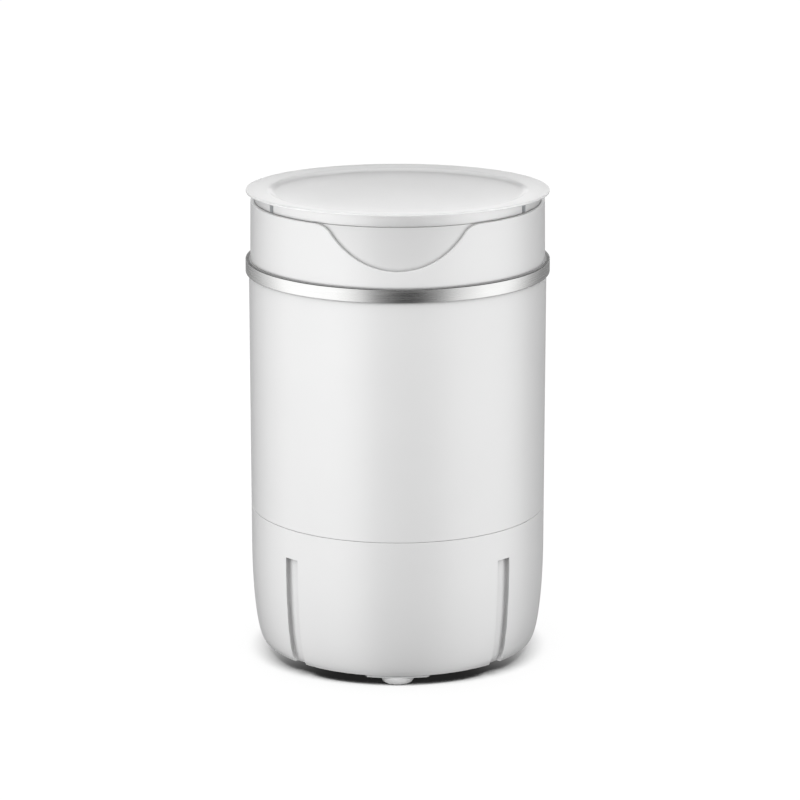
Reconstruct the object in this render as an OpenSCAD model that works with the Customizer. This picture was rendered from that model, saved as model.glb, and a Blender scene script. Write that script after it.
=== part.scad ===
// Portable mini washer: a bucket washer with a lift-off lid and a belt-driven pulsator.
// Origin on the floor at the machine's axis, +Z up, front towards -Y, sizes in millimetres.

/* [Body] */
// Outer diameter of the barrel
barrel_d = 241.2; // [234:0.2:252]
// Height of the casing's bottom edge above the floor
stand_h = 10; // [8:0.5:13]
// Height of the base casing, from its bottom edge to the seam
base_h = 114; // [108:1:124]
// Height of the plain barrel, from the seam to the trim band
barrel_h = 195; // [170:1:220]
// Wall of the barrel and of the base casing
shell_wall = 2.6; // [2.2:0.1:3.2]
// Open gap at the seam between base and barrel
seam_gap = 0.8; // [0.4:0.1:1.2]
// Straight height of the base casing below the seam
base_straight_h = 33; // [20:1:45]
// How far the base casing draws in at its bottom edge
base_tuck = 9; // [6:0.5:11]

/* [Base grooves] */
// Width of each upright groove
groove_w = 13; // [9:0.5:16]
// Depth of each groove
groove_depth = 4.2; // [2:0.1:5]
// Distance from the seam down to the top of each groove
groove_drop = 24.5; // [18:0.5:32]

/* [Trim band] */
// Height of the band
band_h = 12.8; // [9:0.2:18]
// How far the band stands out from the barrel
band_proud = 2.7; // [1.5:0.1:4]

/* [Collar] */
// Height of the collar above the band
collar_h = 46.6; // [42:0.2:56]
// How far the collar's rim sits inside the barrel's outer face
collar_inset = 1.8; // [1.2:0.1:2.2]
// Wall of the collar
collar_wall = 2.9; // [2.4:0.1:3.4]
// Radius of the finger scoop
scoop_r = 64; // [52:1:74]
// Height of the scoop's lowest point above the band
scoop_above_band = 12.4; // [8:0.2:16]
// Rounding where the scoop meets the rim
scoop_corner_r = 6; // [3:0.5:9]

/* [Lid] */
// Diameter over the lid's flange
lid_d = 245; // [240:0.5:252]
// Thickness of the lid's sheet
lid_sheet = 2.2; // [1.8:0.1:3]
// Height of the flange's underside above the collar's rim
lid_rise = 5.4; // [4:0.2:9]
// Diameter of the sunk centre panel
lid_panel_d = 198; // [150:1:205]
// Depth of the sunk centre panel
lid_panel_sink = 1.6; // [0.8:0.1:2.4]
// Depth of the lid's plug below the tub's rim
lid_plug_h = 12; // [8:0.5:18]
// Width of the notches in the lid's wall
lid_notch_w = 3; // [2:0.2:5]

/* [Tub] */
// Wall of the wash tub
tub_wall = 2.4; // [2:0.1:3]
// Thickness of the tub's floor
tub_floor_t = 3; // [2.5:0.1:4]
// Height of the tub's floor above the seam
tub_floor_lift = 4; // [2:0.5:10]
// How much the tub's radius narrows from the flange to the floor
tub_draft = 8; // [4:0.5:11]
// Rounding between the tub's wall and floor
tub_corner_r = 10; // [6:0.5:14]
// Number of ribs on the tub's wall
tub_rib_count = 8; // [4:1:12]
// Radius of each rib
tub_rib_r = 3; // [2.5:0.1:4]

/* [Pulsator] */
// Diameter of the pulsator
pulsator_d = 144; // [120:1:146]
// Height of the pulsator's crown above the tub's floor
pulsator_h = 17; // [15:0.5:24]
// Number of vanes
vane_count = 6; // [3:1:8]
// Thickness of each vane
vane_t = 5; // [3:0.5:8]
// How far the vanes stand above the disc
vane_rise = 7; // [4:0.5:10]

/* [Drive] */
// Diameter of the drive shaft
shaft_d = 10; // [8:0.5:11]
// Height of the bearing housing between drive plate and tub
housing_h = 54; // [52:1:60]
// Diameter of the motor pulley
motor_pulley_d = 24; // [22:1:30]
// Thickness of the belt
belt_t = 4; // [3:0.2:4.4]
// Height of the belt
belt_h = 8; // [5:0.5:10]
// Gap between the rims of the two pulleys
pulley_space = 10; // [6:0.5:16]
// Gap between the bearing housing's foot and the motor
motor_gap = 9; // [6:0.5:13]
// Height of the motor
motor_h = 46; // [40:1:48]
// Diameter of the motor's shaft
motor_shaft_d = 8; // [6:0.5:8.5]

/* [Rear bay] */
// Width of the bay
bay_w = 92; // [90:1:100]
// Height of the bay
bay_h = 76; // [72:1:80]
// Height of the bay's lower edge above the casing's bottom edge
bay_lift = 20; // [16:1:24]
// Depth of the bay from the barrel's outer face to its panel
bay_depth = 14.6; // [13:0.2:17]
// Diameter of the timer knob
knob_d = 38; // [30:1:44]
// Height of the timer knob
knob_h = 12; // [9:0.5:13]
// Outer diameter of the drain spigot
spigot_d = 16; // [14:0.5:17]
// Length of the drain spigot in front of the panel
spigot_len = 14; // [10:0.5:16]
// Bore of the cord gland
gland_bore_d = 7.2; // [6:0.2:8]

/* [Feet] */
// Diameter of a foot where it meets the floor
foot_d = 20; // [16:1:24]
// How much wider a foot is at its top
foot_flare = 8; // [4:1:8]
// Distance from the casing's bottom edge in to each foot's axis
foot_inset = 17; // [16:0.5:22]

/* [Fasteners] */
// Shank diameter of the larger screws
screw_d = 4; // [3:0.5:4.5]
// Shank diameter of the small screws
small_screw_d = 3; // [2.5:0.1:3.4]

/* [Fits] */
// Gap between casings that slip together
slip_gap = 0.3; // [0.2:0.05:0.5]
// Radial gap of a shaft that turns in a bush
running_gap = 0.05; // [0.02:0.01:0.09]
// Radial gap of pieces that are pressed together
press_gap = 0.03; // [0.02:0.01:0.06]
// Gap between the lid and the tub
lid_gap = 0.6; // [0.4:0.1:1]

/* [Hidden] */
$fn = 96;
// Overrun of a cut past the face it leaves
over = 1;
// Heights above the floor
edge_z = stand_h;
seam_z = edge_z + base_h;
band_z = seam_z + barrel_h;
band_top_z = band_z + band_h;
rim_z = band_top_z + collar_h;
neck_drop = 1;
neck_z = rim_z - neck_drop;
flange_z = rim_z + lid_rise;
lid_top_z = flange_z + lid_sheet;
lid_notch_angles = [90, 210, 330];
barrel_drop = 1.8;
barrel_top_z = band_top_z - barrel_drop;
// Radii of the casings
barrel_r = barrel_d / 2;
barrel_ri = barrel_r - shell_wall;
band_ri = barrel_r + press_gap;
band_ro = barrel_r + band_proud;
collar_ro = barrel_r - collar_inset;
collar_draft = 0.6;
collar_foot_ro = collar_ro + collar_draft;
collar_ri = collar_ro - collar_wall;
skirt_ro = barrel_ri - slip_gap;
skirt_h = 16;
skirt_z = barrel_top_z - skirt_h;
neck_ro = collar_ri - slip_gap;
neck_ri = neck_ro - tub_wall;
// The tub hangs on a ledge inside the barrel, and the collar's skirt clamps its flange
tub_flange_t = 2.4;
tub_flange_z = skirt_z - tub_flange_t;
ledge_h = 4;
ledge_z = tub_flange_z - ledge_h;
ledge_ri = neck_ro + slip_gap;
tongue_h = 7;
tongue_wall = 2;
// The base casing draws in along a quarter of an ellipse that stops short of its tip
tuck_angle = 84;
tuck_steps = 14;
tuck_z = seam_z - base_straight_h;
tuck_drop = base_h - base_straight_h;
edge_r = barrel_r - base_tuck;
groove_angles = [45, 135, 225, 315];
groove_top_z = seam_z - groove_drop;
groove_back_w = groove_w + 2 * shell_wall;
// Screws
screw_r = screw_d / 2;
screw_head_r = screw_d * 0.95;
screw_head_h = screw_d * 0.6;
small_screw_r = small_screw_d / 2;
small_head_r = small_screw_d * 0.9;
small_head_h = small_screw_d * 0.55;
hole_gap = 0.2;
screw_grip = 10;
// Bottom cover and feet
plate_recess = 0.8;
cover_t = 3;
cover_z = edge_z + plate_recess;
cover_top_z = cover_z + cover_t;
cover_r = edge_r - shell_wall - slip_gap;
cover_notch_r = edge_r - groove_depth - shell_wall - 2 * slip_gap;
cover_screw_clear = 0.6;
cover_screw_ring_r = cover_notch_r - cover_screw_clear - hole_gap - screw_head_r;
screw_block_wall = 4.5;
screw_block_w = screw_d + 2 * screw_block_wall;
screw_block_h = 18;
pad_drop = 3;
pad_z = edge_z - pad_drop;
pad_r = 27;
foot_ring_r = edge_r - foot_inset;
foot_r = foot_d / 2;
foot_top_r = foot_r + foot_flare / 2;
foot_stem_r = 4;
foot_barb = 1;
foot_barb_h = 2;
// Tub floor and bearing housing
tub_floor_z = seam_z + tub_floor_lift;
tub_floor_top = tub_floor_z + tub_floor_t;
tub_foot_ro = neck_ro - tub_draft;
gasket_t = 1.5;
housing_top_z = tub_floor_z - gasket_t;
drive_plate_t = 2;
drive_plate_top = housing_top_z - housing_h;
drive_plate_z = drive_plate_top - drive_plate_t;
shaft_r = shaft_d / 2;
bush_wall = 4;
bush_r = shaft_r + bush_wall;
bush_h = 14;
seal_wall = 6;
seal_r = shaft_r + seal_wall;
seal_h = 6.7;
seal_seat_wall = 4;
spigot_ring_r = seal_r + seal_seat_wall;
spigot_rise = 0.5;
spigot_top_z = tub_floor_top + spigot_rise;
housing_wall = 7;
housing_r = bush_r + housing_wall;
housing_flange_t = 4;
housing_top_flange = 19;
housing_top_r = spigot_ring_r + housing_top_flange;
housing_foot_flange = 11;
housing_foot_r = housing_r + housing_foot_flange;
tub_screw_inset = 7;
tub_screw_ring_r = housing_top_r - tub_screw_inset;
housing_bolt_inset = 5;
housing_bolt_ring_r = housing_foot_r - housing_bolt_inset;
seal_sink = 0.3;
seal_top_z = spigot_top_z - seal_sink;
seal_z = seal_top_z - seal_h;
upper_bush_z = seal_z - bush_h;
shaft_bore_gap = 1.5;
shaft_bore_r = shaft_r + shaft_bore_gap;
// Motor: it fills the room between the bearing housing's foot and the casing
motor_clear = 10;
motor_rim = 8;
motor_r = (barrel_ri - motor_clear - motor_rim - housing_foot_r - motor_gap) / 2;
motor_offset = housing_foot_r + motor_gap + motor_r;
motor_lobe_r = motor_r + motor_rim;
motor_screw_ring_r = motor_r - motor_rim;
motor_screw_angles = [90, 210, 330];
motor_wall = 1.5;
motor_cap_t = 4;
motor_can_z = drive_plate_top + motor_cap_t;
motor_can_top = drive_plate_top + motor_h;
motor_shaft_r = motor_shaft_d / 2;
motor_shaft_drop = 3;
motor_shaft_top = motor_can_top - motor_shaft_drop;
motor_air_gap = 0.8;
magnet_t = 7;
magnet_ro = motor_r - motor_wall - press_gap;
magnet_ri = magnet_ro - magnet_t;
armature_r = magnet_ri - motor_air_gap;
armature_clear = 6;
motor_hole_gap = 8;
motor_hole_r = motor_shaft_r + motor_hole_gap;
terminal_w = 12;
terminal_len = 6;
terminal_h = 8;
// Pulleys and belt
pulley_drop = 5;
pulley_flange = 3;
pulley_h = belt_h + 2 * pulley_flange;
pulley_top_z = drive_plate_z - pulley_drop;
pulley_z = pulley_top_z - pulley_h;
belt_z = pulley_z + pulley_flange;
belt_side_gap = 0.4;
belt_sink = 1;
motor_pulley_r = motor_pulley_d / 2;
driven_pulley_r = motor_offset - pulley_space - motor_pulley_r;
driven_belt_ro = driven_pulley_r - belt_sink;
motor_belt_ro = motor_pulley_r - belt_sink;
pulley_hub_wall = 5;
pulley_hub_r = shaft_r + pulley_hub_wall;
plate_hole_gap = 2;
plate_hole_r = pulley_hub_r + plate_hole_gap;
hub_gap = 0.3;
hub_top_z = drive_plate_top - hub_gap;
thread_step = 1;
thread_r = shaft_r - thread_step;
washer_t = 1.5;
washer_rim = 5;
washer_r = thread_r + washer_rim;
nut_h = 6.5;
nut_r = thread_r * 1.8;
shaft_tip = 2;
shaft_end_z = pulley_z - washer_t - nut_h - shaft_tip;
// Pulsator
pulsator_r = pulsator_d / 2;
pulsator_gap = 3;
pulsator_sheet = 2.5;
pulsator_rim_z = tub_floor_top + pulsator_gap;
crown_z = tub_floor_top + pulsator_h;
hub_lift = 2;
hub_z = tub_floor_top + hub_lift;
hub_wall = 4;
hub_r = shaft_r + hub_wall;
cap_r = 14;
cap_pocket_h = 6;
cap_floor_z = crown_z - cap_pocket_h;
cap_rim = 0.8;
collar_ring_step = 2;
collar_ring_r = shaft_r + collar_ring_step;
collar_ring_h = 1.3;
centre_screw_r = 2;
centre_screw_len = 12;
centre_head_h = 3;
// Rear bay: a flat panel at the back of a pocket in the base casing
panel_y = barrel_r - bay_depth;
panel_t = 3;
panel_back_y = panel_y - panel_t;
ledge_depth = 6;
ledge_w = 7;
window_clear = 1;
bay_z = edge_z + bay_lift;
bay_top_z = bay_z + bay_h;
bay_side = bay_w / 2;
panel_screw_inset = ledge_w / 2;
// Drain and cord gland, low in the bay on either side
pipe_wall = 2;
pipe_step = 1;
pipe_r = spigot_d / 2 + pipe_step;
pipe_bore_r = spigot_d / 2 - pipe_wall;
gland_wall = 3;
gland_r = gland_bore_d / 2 + gland_wall;
gland_flange = 2.5;
gland_flange_r = gland_r + gland_flange;
outlet_z = bay_z + ledge_w + window_clear + max(pipe_r, gland_flange_r);
outlet_side_clear = 4;
outlet_x = bay_side - ledge_w - pipe_r - outlet_side_clear;
drain_set_back = 25;
drain_y = panel_back_y - drain_set_back;
nipple_step = 0.8;
nipple_r = pipe_bore_r + nipple_step;
nipple_h = 10;
nipple_wall = 1.8;
drain_hole_r = nipple_r - nipple_wall;
socket_wall = 2.2;
socket_r = nipple_r + slip_gap + socket_wall;
strainer_rim = 2.6;
strainer_r = nipple_r + strainer_rim;
strainer_t = 1.5;
drain_seal_t = 1.5;
elbow_top_z = tub_floor_z - drain_seal_t;
plug_gap = 0.3;
plug_head_inset = 0.4;
plug_head_t = 1.6;
plug_len = 10;
// Timer, high in the bay between the drain and the gland
timer_side_clear = 1.7;
timer_w = 2 * (outlet_x - socket_r - timer_side_clear);
timer_h = 34;
timer_depth = 20;
timer_z = bay_top_z - ledge_w - window_clear - timer_h / 2;
timer_screw_reach = 12;
timer_shaft_r = 3;
timer_hole_gap = 0.6;
knob_r = knob_d / 2;
knob_stand = 2.6;
knob_socket_h = 9;
// Drive plate: its columns keep clear of the drain
drain_clear = 3;
drive_plate_r = norm([outlet_x, drain_y]) - socket_r - drain_clear;
column_inset = 8.5;
column_ring_r = drive_plate_r - column_inset;
column_angles = [60, 120, 215, 325];
column_wall = 4.5;
column_r = screw_r + column_wall;
// Supply board on the bottom cover, between a column and the casing
board_gap = 1;
board_edge = 11;
board_x = column_ring_r * cos(column_angles[3]) + column_r + board_gap;
board_w = cover_r - board_x - board_edge;
board_l = 60;
board_y = -0.37 * board_l;
board_t = 1.6;
post_h = 6;
post_r = 3.2;
post_inset = 5;
board_z = cover_top_z + post_h;
board_top_z = board_z + board_t;
block_h = 12;
rectifier_h = 15;
rectifier_y = board_y + 0.14 * board_l;
capacitor_h = 30;
lead_r = 1.1;
lead_pitch = 6;
lead_run = 8;

// Points along an arc, from one angle to another
function arc(centre, r, from, to, steps = 6) = [
    for (i = [0 : steps])
        let (a = from + (to - from) * i / steps)
        centre + r * [cos(a), sin(a)]
];

// Outline of the base casing below its straight part, from top to bottom, moved in by an inset
function tuck_points(inset) = [
    for (i = [0 : tuck_steps])
        let (a = tuck_angle * i / tuck_steps)
        [
            barrel_r - inset - base_tuck * (1 - cos(a)) / (1 - cos(tuck_angle)),
            tuck_z - tuck_drop * sin(a) / sin(tuck_angle)
        ]
];

// Hollow round bar standing on z
module ring(r_out, r_in, z, h) {
    translate([0, 0, z])
        difference() {
            cylinder(r = r_out, h = h);
            translate([0, 0, -over]) cylinder(r = r_in, h = h + 2 * over);
        }
}

// Pan-head screw with a cross recess: the head stands on z = 0 and the shank points down
module pan_screw(r, head_r, head_h, len) {
    recess_w = head_r * 0.3;
    recess_l = head_r * 1.2;
    difference() {
        union() {
            cylinder(r = head_r, h = head_h);
            translate([0, 0, -len]) cylinder(r = r, h = len);
        }
        for (a = [0, 90])
            rotate(a)
                translate([-recess_l / 2, -recess_w / 2, head_h * 0.45])
                    cube([recess_l, recess_w, head_h]);
    }
}

module big_screw(len = screw_grip) {
    pan_screw(screw_r, screw_head_r, screw_head_h, len);
}

module small_screw(len) {
    pan_screw(small_screw_r, small_head_r, small_head_h, len);
}

// Solid of the base casing's outer shape, moved in by an inset
module base_solid(inset) {
    rotate_extrude()
        polygon(concat(
            [[0, seam_z], [barrel_r - inset, seam_z]],
            tuck_points(inset),
            [[0, edge_z]]
        ));
}

// Turned layer between two insets of the base casing's outline
module base_layer(outer_inset, inner_inset) {
    inner = tuck_points(inner_inset);
    rotate_extrude()
        polygon(concat(
            [[barrel_r - outer_inset, tuck_z + base_straight_h / 2]],
            tuck_points(outer_inset),
            [for (i = [tuck_steps : -1 : 0]) inner[i]],
            [[barrel_r - inner_inset, tuck_z + base_straight_h / 2]]
        ));
}

// Everything outside an inset of the base casing's outline
module base_outside(inset) {
    inner = tuck_points(inset);
    rotate_extrude()
        polygon(concat(
            [[barrel_r + over, seam_z], [barrel_r + over, edge_z - over], [edge_r - inset, edge_z - over]],
            [for (i = [tuck_steps : -1 : 0]) inner[i]],
            [[barrel_r - inset, seam_z]]
        ));
}

// Upright slab that reaches outwards from a radius, at one of the groove angles
module groove_slab(angle, width, from_r, z, top_z) {
    rotate(angle)
        translate([from_r, -width / 2, z])
            cube([barrel_r + 2 * over - from_r, width, top_z - z]);
}

// Places its children on a point of the rear panel, with their +Z pointing out of the panel
module on_panel(x, y, z) {
    translate([x, y, z]) rotate([-90, 0, 0]) children();
}

module panel_screw_places() {
    for (x = [-1, 1])
        for (z = [bay_z + panel_screw_inset, bay_top_z - panel_screw_inset])
            on_panel(x * (bay_side - panel_screw_inset), panel_y, z) children();
}

module timer_screw_places() {
    for (z = [-1, 1])
        on_panel(0, panel_y, timer_z + z * timer_screw_reach) children();
}

module column_places() {
    for (a = column_angles)
        rotate(a) translate([column_ring_r, 0, 0]) children();
}

module motor_screw_places() {
    translate([0, -motor_offset, 0])
        for (a = motor_screw_angles)
            rotate(a) translate([motor_screw_ring_r, 0, 0]) children();
}

module board_post_places() {
    for (x = [post_inset, board_w - post_inset])
        for (y = [post_inset, board_l - post_inset])
            translate([board_x + x, board_y + y, 0]) children();
}

module around(count, r, first = 0) {
    for (i = [0 : count - 1])
        rotate(first + i * 360 / count) translate([r, 0, 0]) children();
}

// Flange, sunk panel, wall and plug of the lift-off lid, moulded in one piece
module lid_cover() {
    edge_r0 = lid_sheet / 2;
    flange_r = lid_d / 2;
    panel_r = lid_panel_d / 2;
    panel_top = lid_top_z - lid_panel_sink;
    slope = 3 * lid_panel_sink;
    wall_ro = neck_ro - slip_gap;
    seat_gap = 0.2;
    seat_z = neck_z + seat_gap;
    plug_ro = neck_ri - lid_gap;
    plug_wall = 2;
    plug_ri = plug_ro - plug_wall;
    plug_z = neck_z - lid_plug_h;
    notch_depth = 1.6;
    color([0.90, 0.91, 0.91])
        difference() {
            rotate_extrude()
                polygon(concat(
                    [[0, panel_top], [panel_r, panel_top], [panel_r + slope, lid_top_z]],
                    arc([flange_r - edge_r0, flange_z + edge_r0], edge_r0, 90, -90),
                    [
                        [wall_ro, flange_z], [wall_ro, seat_z], [plug_ro, seat_z], [plug_ro, plug_z],
                        [plug_ri, plug_z], [plug_ri, panel_top - lid_sheet], [0, panel_top - lid_sheet]
                    ]
                ));
            for (a = lid_notch_angles)
                rotate(a)
                    translate([wall_ro - notch_depth, -lid_notch_w / 2, seat_z - over])
                        cube([notch_depth + over, lid_notch_w, flange_z - seat_z + over]);
        }
}

// Outline of the finger scoop in the front view, with rounded corners at the rim
module scoop_outline() {
    centre = [0, band_top_z + scoop_above_band + scoop_r];
    corner_z = rim_z - scoop_corner_r;
    drop = centre[1] - corner_z;
    corner_x = sqrt(pow(scoop_r + scoop_corner_r, 2) - drop * drop);
    lean = atan(drop / corner_x);
    polygon(concat(
        [[corner_x, rim_z + over]],
        arc([corner_x, corner_z], scoop_corner_r, 90, 180 - lean),
        arc(centre, scoop_r, -lean, lean - 180, 40),
        arc([-corner_x, corner_z], scoop_corner_r, lean, 90),
        [[-corner_x, rim_z + over]]
    ));
}

// Ring under the lid, with a skirt inside the barrel and the finger scoop at the front
module top_collar() {
    rim_round = 1;
    color([0.93, 0.93, 0.93])
        difference() {
            rotate_extrude()
                polygon(concat(
                    [
                        [collar_ri, skirt_z], [skirt_ro, skirt_z], [skirt_ro, barrel_top_z],
                        [collar_foot_ro, barrel_top_z]
                    ],
                    arc([collar_ro - rim_round, rim_z - rim_round], rim_round, 0, 90),
                    [[collar_ri, rim_z]]
                ));
            rotate([90, 0, 0])
                linear_extrude(height = barrel_r) scoop_outline();
        }
}

module trim_band() {
    bevel = 0.6;
    color([0.72, 0.72, 0.73])
        rotate_extrude()
            polygon([
                [band_ri, band_z], [band_ro - bevel, band_z], [band_ro, band_z + bevel],
                [band_ro, band_top_z - bevel], [band_ro - bevel, band_top_z], [band_ri, band_top_z]
            ]);
}

// Bucket with a straight neck, a flange that hangs in the barrel, ribs, a drain nipple and a drive opening
module wash_tub() {
    foot_ri = tub_foot_ro - tub_wall;
    draft_h = tub_flange_z - tub_floor_z;
    lean = atan(tub_draft / draft_h);
    corner_ro = tub_corner_r + tub_wall;
    rib_z = tub_floor_top + 2 * tub_corner_r;
    rib_len = tub_flange_z - rib_z - 2 * tub_corner_r;
    rib_in = 1;
    rib_at = foot_ri + (rib_z - tub_floor_z) * tan(lean) - rib_in;
    color([0.95, 0.95, 0.95])
        difference() {
            union() {
                rotate_extrude()
                    polygon(concat(
                        [[0, tub_floor_z]],
                        arc([tub_foot_ro - corner_ro, tub_floor_z + corner_ro], corner_ro, -90, -lean),
                        [
                            [neck_ro, tub_flange_z], [skirt_ro, tub_flange_z], [skirt_ro, skirt_z],
                            [neck_ro, skirt_z], [neck_ro, neck_z], [neck_ri, neck_z],
                            [neck_ri, tub_flange_z]
                        ],
                        arc(
                            [foot_ri - tub_corner_r, tub_floor_top + tub_corner_r],
                            tub_corner_r, -lean, -90
                        ),
                        [[0, tub_floor_top]]
                    ));
                around(tub_rib_count, rib_at, 180 / tub_rib_count)
                    translate([0, 0, rib_z])
                        rotate([0, lean, 0]) {
                            cylinder(r = tub_rib_r, h = rib_len);
                            sphere(r = tub_rib_r);
                            translate([0, 0, rib_len]) sphere(r = tub_rib_r);
                        }
                translate([-outlet_x, drain_y, tub_floor_z - nipple_h])
                    cylinder(r = nipple_r, h = nipple_h + over);
            }
            translate([0, 0, tub_floor_z - over])
                cylinder(r = spigot_ring_r + slip_gap, h = tub_floor_t + 2 * over);
            around(4, tub_screw_ring_r, 45)
                translate([0, 0, tub_floor_z - over])
                    cylinder(r = screw_r + hole_gap, h = tub_floor_t + 2 * over);
            translate([-outlet_x, drain_y, tub_floor_z - nipple_h - over])
                cylinder(r = drain_hole_r, h = nipple_h + tub_floor_t + 2 * over);
            translate([-outlet_x, drain_y, tub_floor_top - strainer_t])
                cylinder(r = strainer_r + press_gap, h = strainer_t + over);
        }
}

module barrel_shell() {
    color([0.94, 0.94, 0.94])
        rotate_extrude()
            polygon([
                [barrel_ri, seam_z + seam_gap / 2], [barrel_r, seam_z + seam_gap / 2],
                [barrel_r, barrel_top_z], [barrel_ri, barrel_top_z], [barrel_ri, tub_flange_z],
                [ledge_ri, tub_flange_z], [ledge_ri, ledge_z + ledge_h / 4],
                [barrel_ri, ledge_z - ledge_h / 4]
            ]);
}

// Turned wall of the lower casing, with the tongue that the barrel slips over
module base_wall() {
    top_z = seam_z - seam_gap / 2;
    tongue_ri = skirt_ro - tongue_wall;
    inner = tuck_points(shell_wall);
    rotate_extrude()
        polygon(concat(
            [[barrel_r, top_z]],
            tuck_points(0),
            [for (i = [tuck_steps : -1 : 0]) inner[i]],
            [
                [barrel_ri, top_z - 2 * tongue_h], [tongue_ri, top_z - tongue_h],
                [tongue_ri, top_z + tongue_h], [skirt_ro, top_z + tongue_h], [skirt_ro, top_z]
            ]
        ));
}

// Lower casing: turned wall, four grooves with backs, screw blocks and the rear bay
module base_shell() {
    frame_y = panel_back_y - ledge_depth;
    block_from = cover_screw_ring_r - screw_block_w / 2;
    root = shell_wall / 2;
    color([0.93, 0.93, 0.93])
        difference() {
            union() {
                base_wall();
                intersection() {
                    base_layer(root, groove_depth + shell_wall);
                    for (a = groove_angles)
                        groove_slab(a, groove_back_w, edge_r / 2, edge_z - over, groove_top_z + shell_wall);
                }
                intersection() {
                    base_solid(root);
                    union() {
                        for (a = groove_angles)
                            groove_slab(
                                a, screw_block_w, block_from,
                                cover_top_z + slip_gap, cover_top_z + screw_block_h
                            );
                        translate([-bay_side - shell_wall, frame_y, bay_z - shell_wall])
                            cube([bay_w + 2 * shell_wall, barrel_r, bay_h + 2 * shell_wall]);
                    }
                }
            }
            intersection() {
                base_outside(groove_depth);
                for (a = groove_angles)
                    groove_slab(a, groove_w, edge_r / 2, edge_z - 2 * over, groove_top_z);
            }
            translate([-bay_side, panel_back_y, bay_z]) cube([bay_w, barrel_r, bay_h]);
            translate([-bay_side + ledge_w, frame_y - over, bay_z + ledge_w])
                cube([bay_w - 2 * ledge_w, barrel_r, bay_h - 2 * ledge_w]);
            around(4, cover_screw_ring_r, groove_angles[0])
                translate([0, 0, cover_top_z - over]) cylinder(r = screw_r, h = screw_grip + over);
            panel_screw_places()
                translate([0, 0, -panel_t - ledge_depth - over])
                    cylinder(r = small_screw_r, h = ledge_depth + 2 * over);
        }
}

// Bottom cover with foot pads, columns for the drive plate, posts for the board and cooling slots
module base_plate() {
    notch_w = groove_back_w + 2 * slip_gap;
    slot_count = 5;
    slot_pitch = 9;
    slot_y = (pad_r - foot_ring_r) / 2;
    slot_w = 4;
    slot_len = 40;
    color([0.90, 0.90, 0.90])
        difference() {
            union() {
                translate([0, 0, cover_z]) cylinder(r = cover_r, h = cover_t);
                intersection() {
                    translate([0, 0, pad_z]) cylinder(r = cover_r, h = cover_z - pad_z + over);
                    around(4, foot_ring_r)
                        translate([0, 0, pad_z]) cylinder(r = pad_r, h = cover_z - pad_z + over);
                }
                column_places()
                    translate([0, 0, cover_z]) cylinder(r = column_r, h = drive_plate_z - cover_z);
                board_post_places()
                    translate([0, 0, cover_z]) cylinder(r = post_r, h = board_z - cover_z);
            }
            for (a = groove_angles)
                groove_slab(a, notch_w, cover_notch_r, pad_z - over, cover_top_z + over);
            around(4, cover_screw_ring_r, groove_angles[0]) {
                translate([0, 0, cover_z - over]) cylinder(r = screw_r + hole_gap, h = cover_t + 2 * over);
                translate([0, 0, cover_z - over])
                    cylinder(r = screw_head_r + hole_gap, h = cover_t / 2 + over);
            }
            around(4, foot_ring_r)
                translate([0, 0, pad_z - over])
                    cylinder(r = foot_stem_r + press_gap, h = cover_top_z - pad_z + 2 * over);
            column_places()
                translate([0, 0, drive_plate_z - screw_grip]) cylinder(r = screw_r, h = screw_grip + over);
            board_post_places()
                translate([0, 0, board_z - post_h]) cylinder(r = small_screw_r, h = post_h + over);
            for (i = [0 : slot_count - 1])
                translate([-slot_len / 2, slot_y + (i - (slot_count - 1) / 2) * slot_pitch, cover_z - over])
                    cube([slot_len, slot_w, cover_t + 2 * over]);
        }
}

// Rubber foot with a push-in stem that snaps above the bottom cover
module foot(angle) {
    flare = foot_top_r - foot_r;
    color([0.92, 0.92, 0.92])
        rotate(angle)
            translate([foot_ring_r, 0, 0]) {
                rotate_extrude()
                    polygon(concat(
                        [[0, 0]],
                        arc([foot_r, flare], flare, -90, 0),
                        [
                            [foot_top_r, pad_z], [foot_stem_r, pad_z], [foot_stem_r, cover_top_z],
                            [foot_stem_r + foot_barb, cover_top_z],
                            [foot_stem_r, cover_top_z + foot_barb_h],
                            [0, cover_top_z + foot_barb_h]
                        ]
                    ));
            }
}

module foot_front() {
    foot(270);
}

module foot_right() {
    foot(0);
}

module foot_rear() {
    foot(90);
}

module foot_left() {
    foot(180);
}

module base_screws() {
    color([0.75, 0.75, 0.77])
        around(4, cover_screw_ring_r, groove_angles[0])
            translate([0, 0, cover_z + cover_t / 2]) mirror([0, 0, 1]) big_screw();
}

// Pressed steel plate that carries the bearing housing and the motor
module drive_plate() {
    color([0.70, 0.71, 0.73])
        translate([0, 0, drive_plate_z])
            difference() {
                linear_extrude(height = drive_plate_t)
                    difference() {
                        union() {
                            circle(r = drive_plate_r);
                            translate([0, -motor_offset]) circle(r = motor_lobe_r);
                            translate([-motor_lobe_r, -motor_offset])
                                square([2 * motor_lobe_r, motor_offset]);
                        }
                        circle(r = plate_hole_r);
                        translate([0, -motor_offset]) circle(r = motor_hole_r);
                    }
                translate([0, 0, -over]) {
                    column_places() cylinder(r = screw_r + hole_gap, h = drive_plate_t + 2 * over);
                    motor_screw_places() cylinder(r = screw_r + hole_gap, h = drive_plate_t + 2 * over);
                    around(4, housing_bolt_ring_r, 45) cylinder(r = screw_r, h = drive_plate_t + 2 * over);
                }
            }
}

module plate_screws() {
    color([0.75, 0.75, 0.77])
        column_places() translate([0, 0, drive_plate_top]) big_screw();
}

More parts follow.
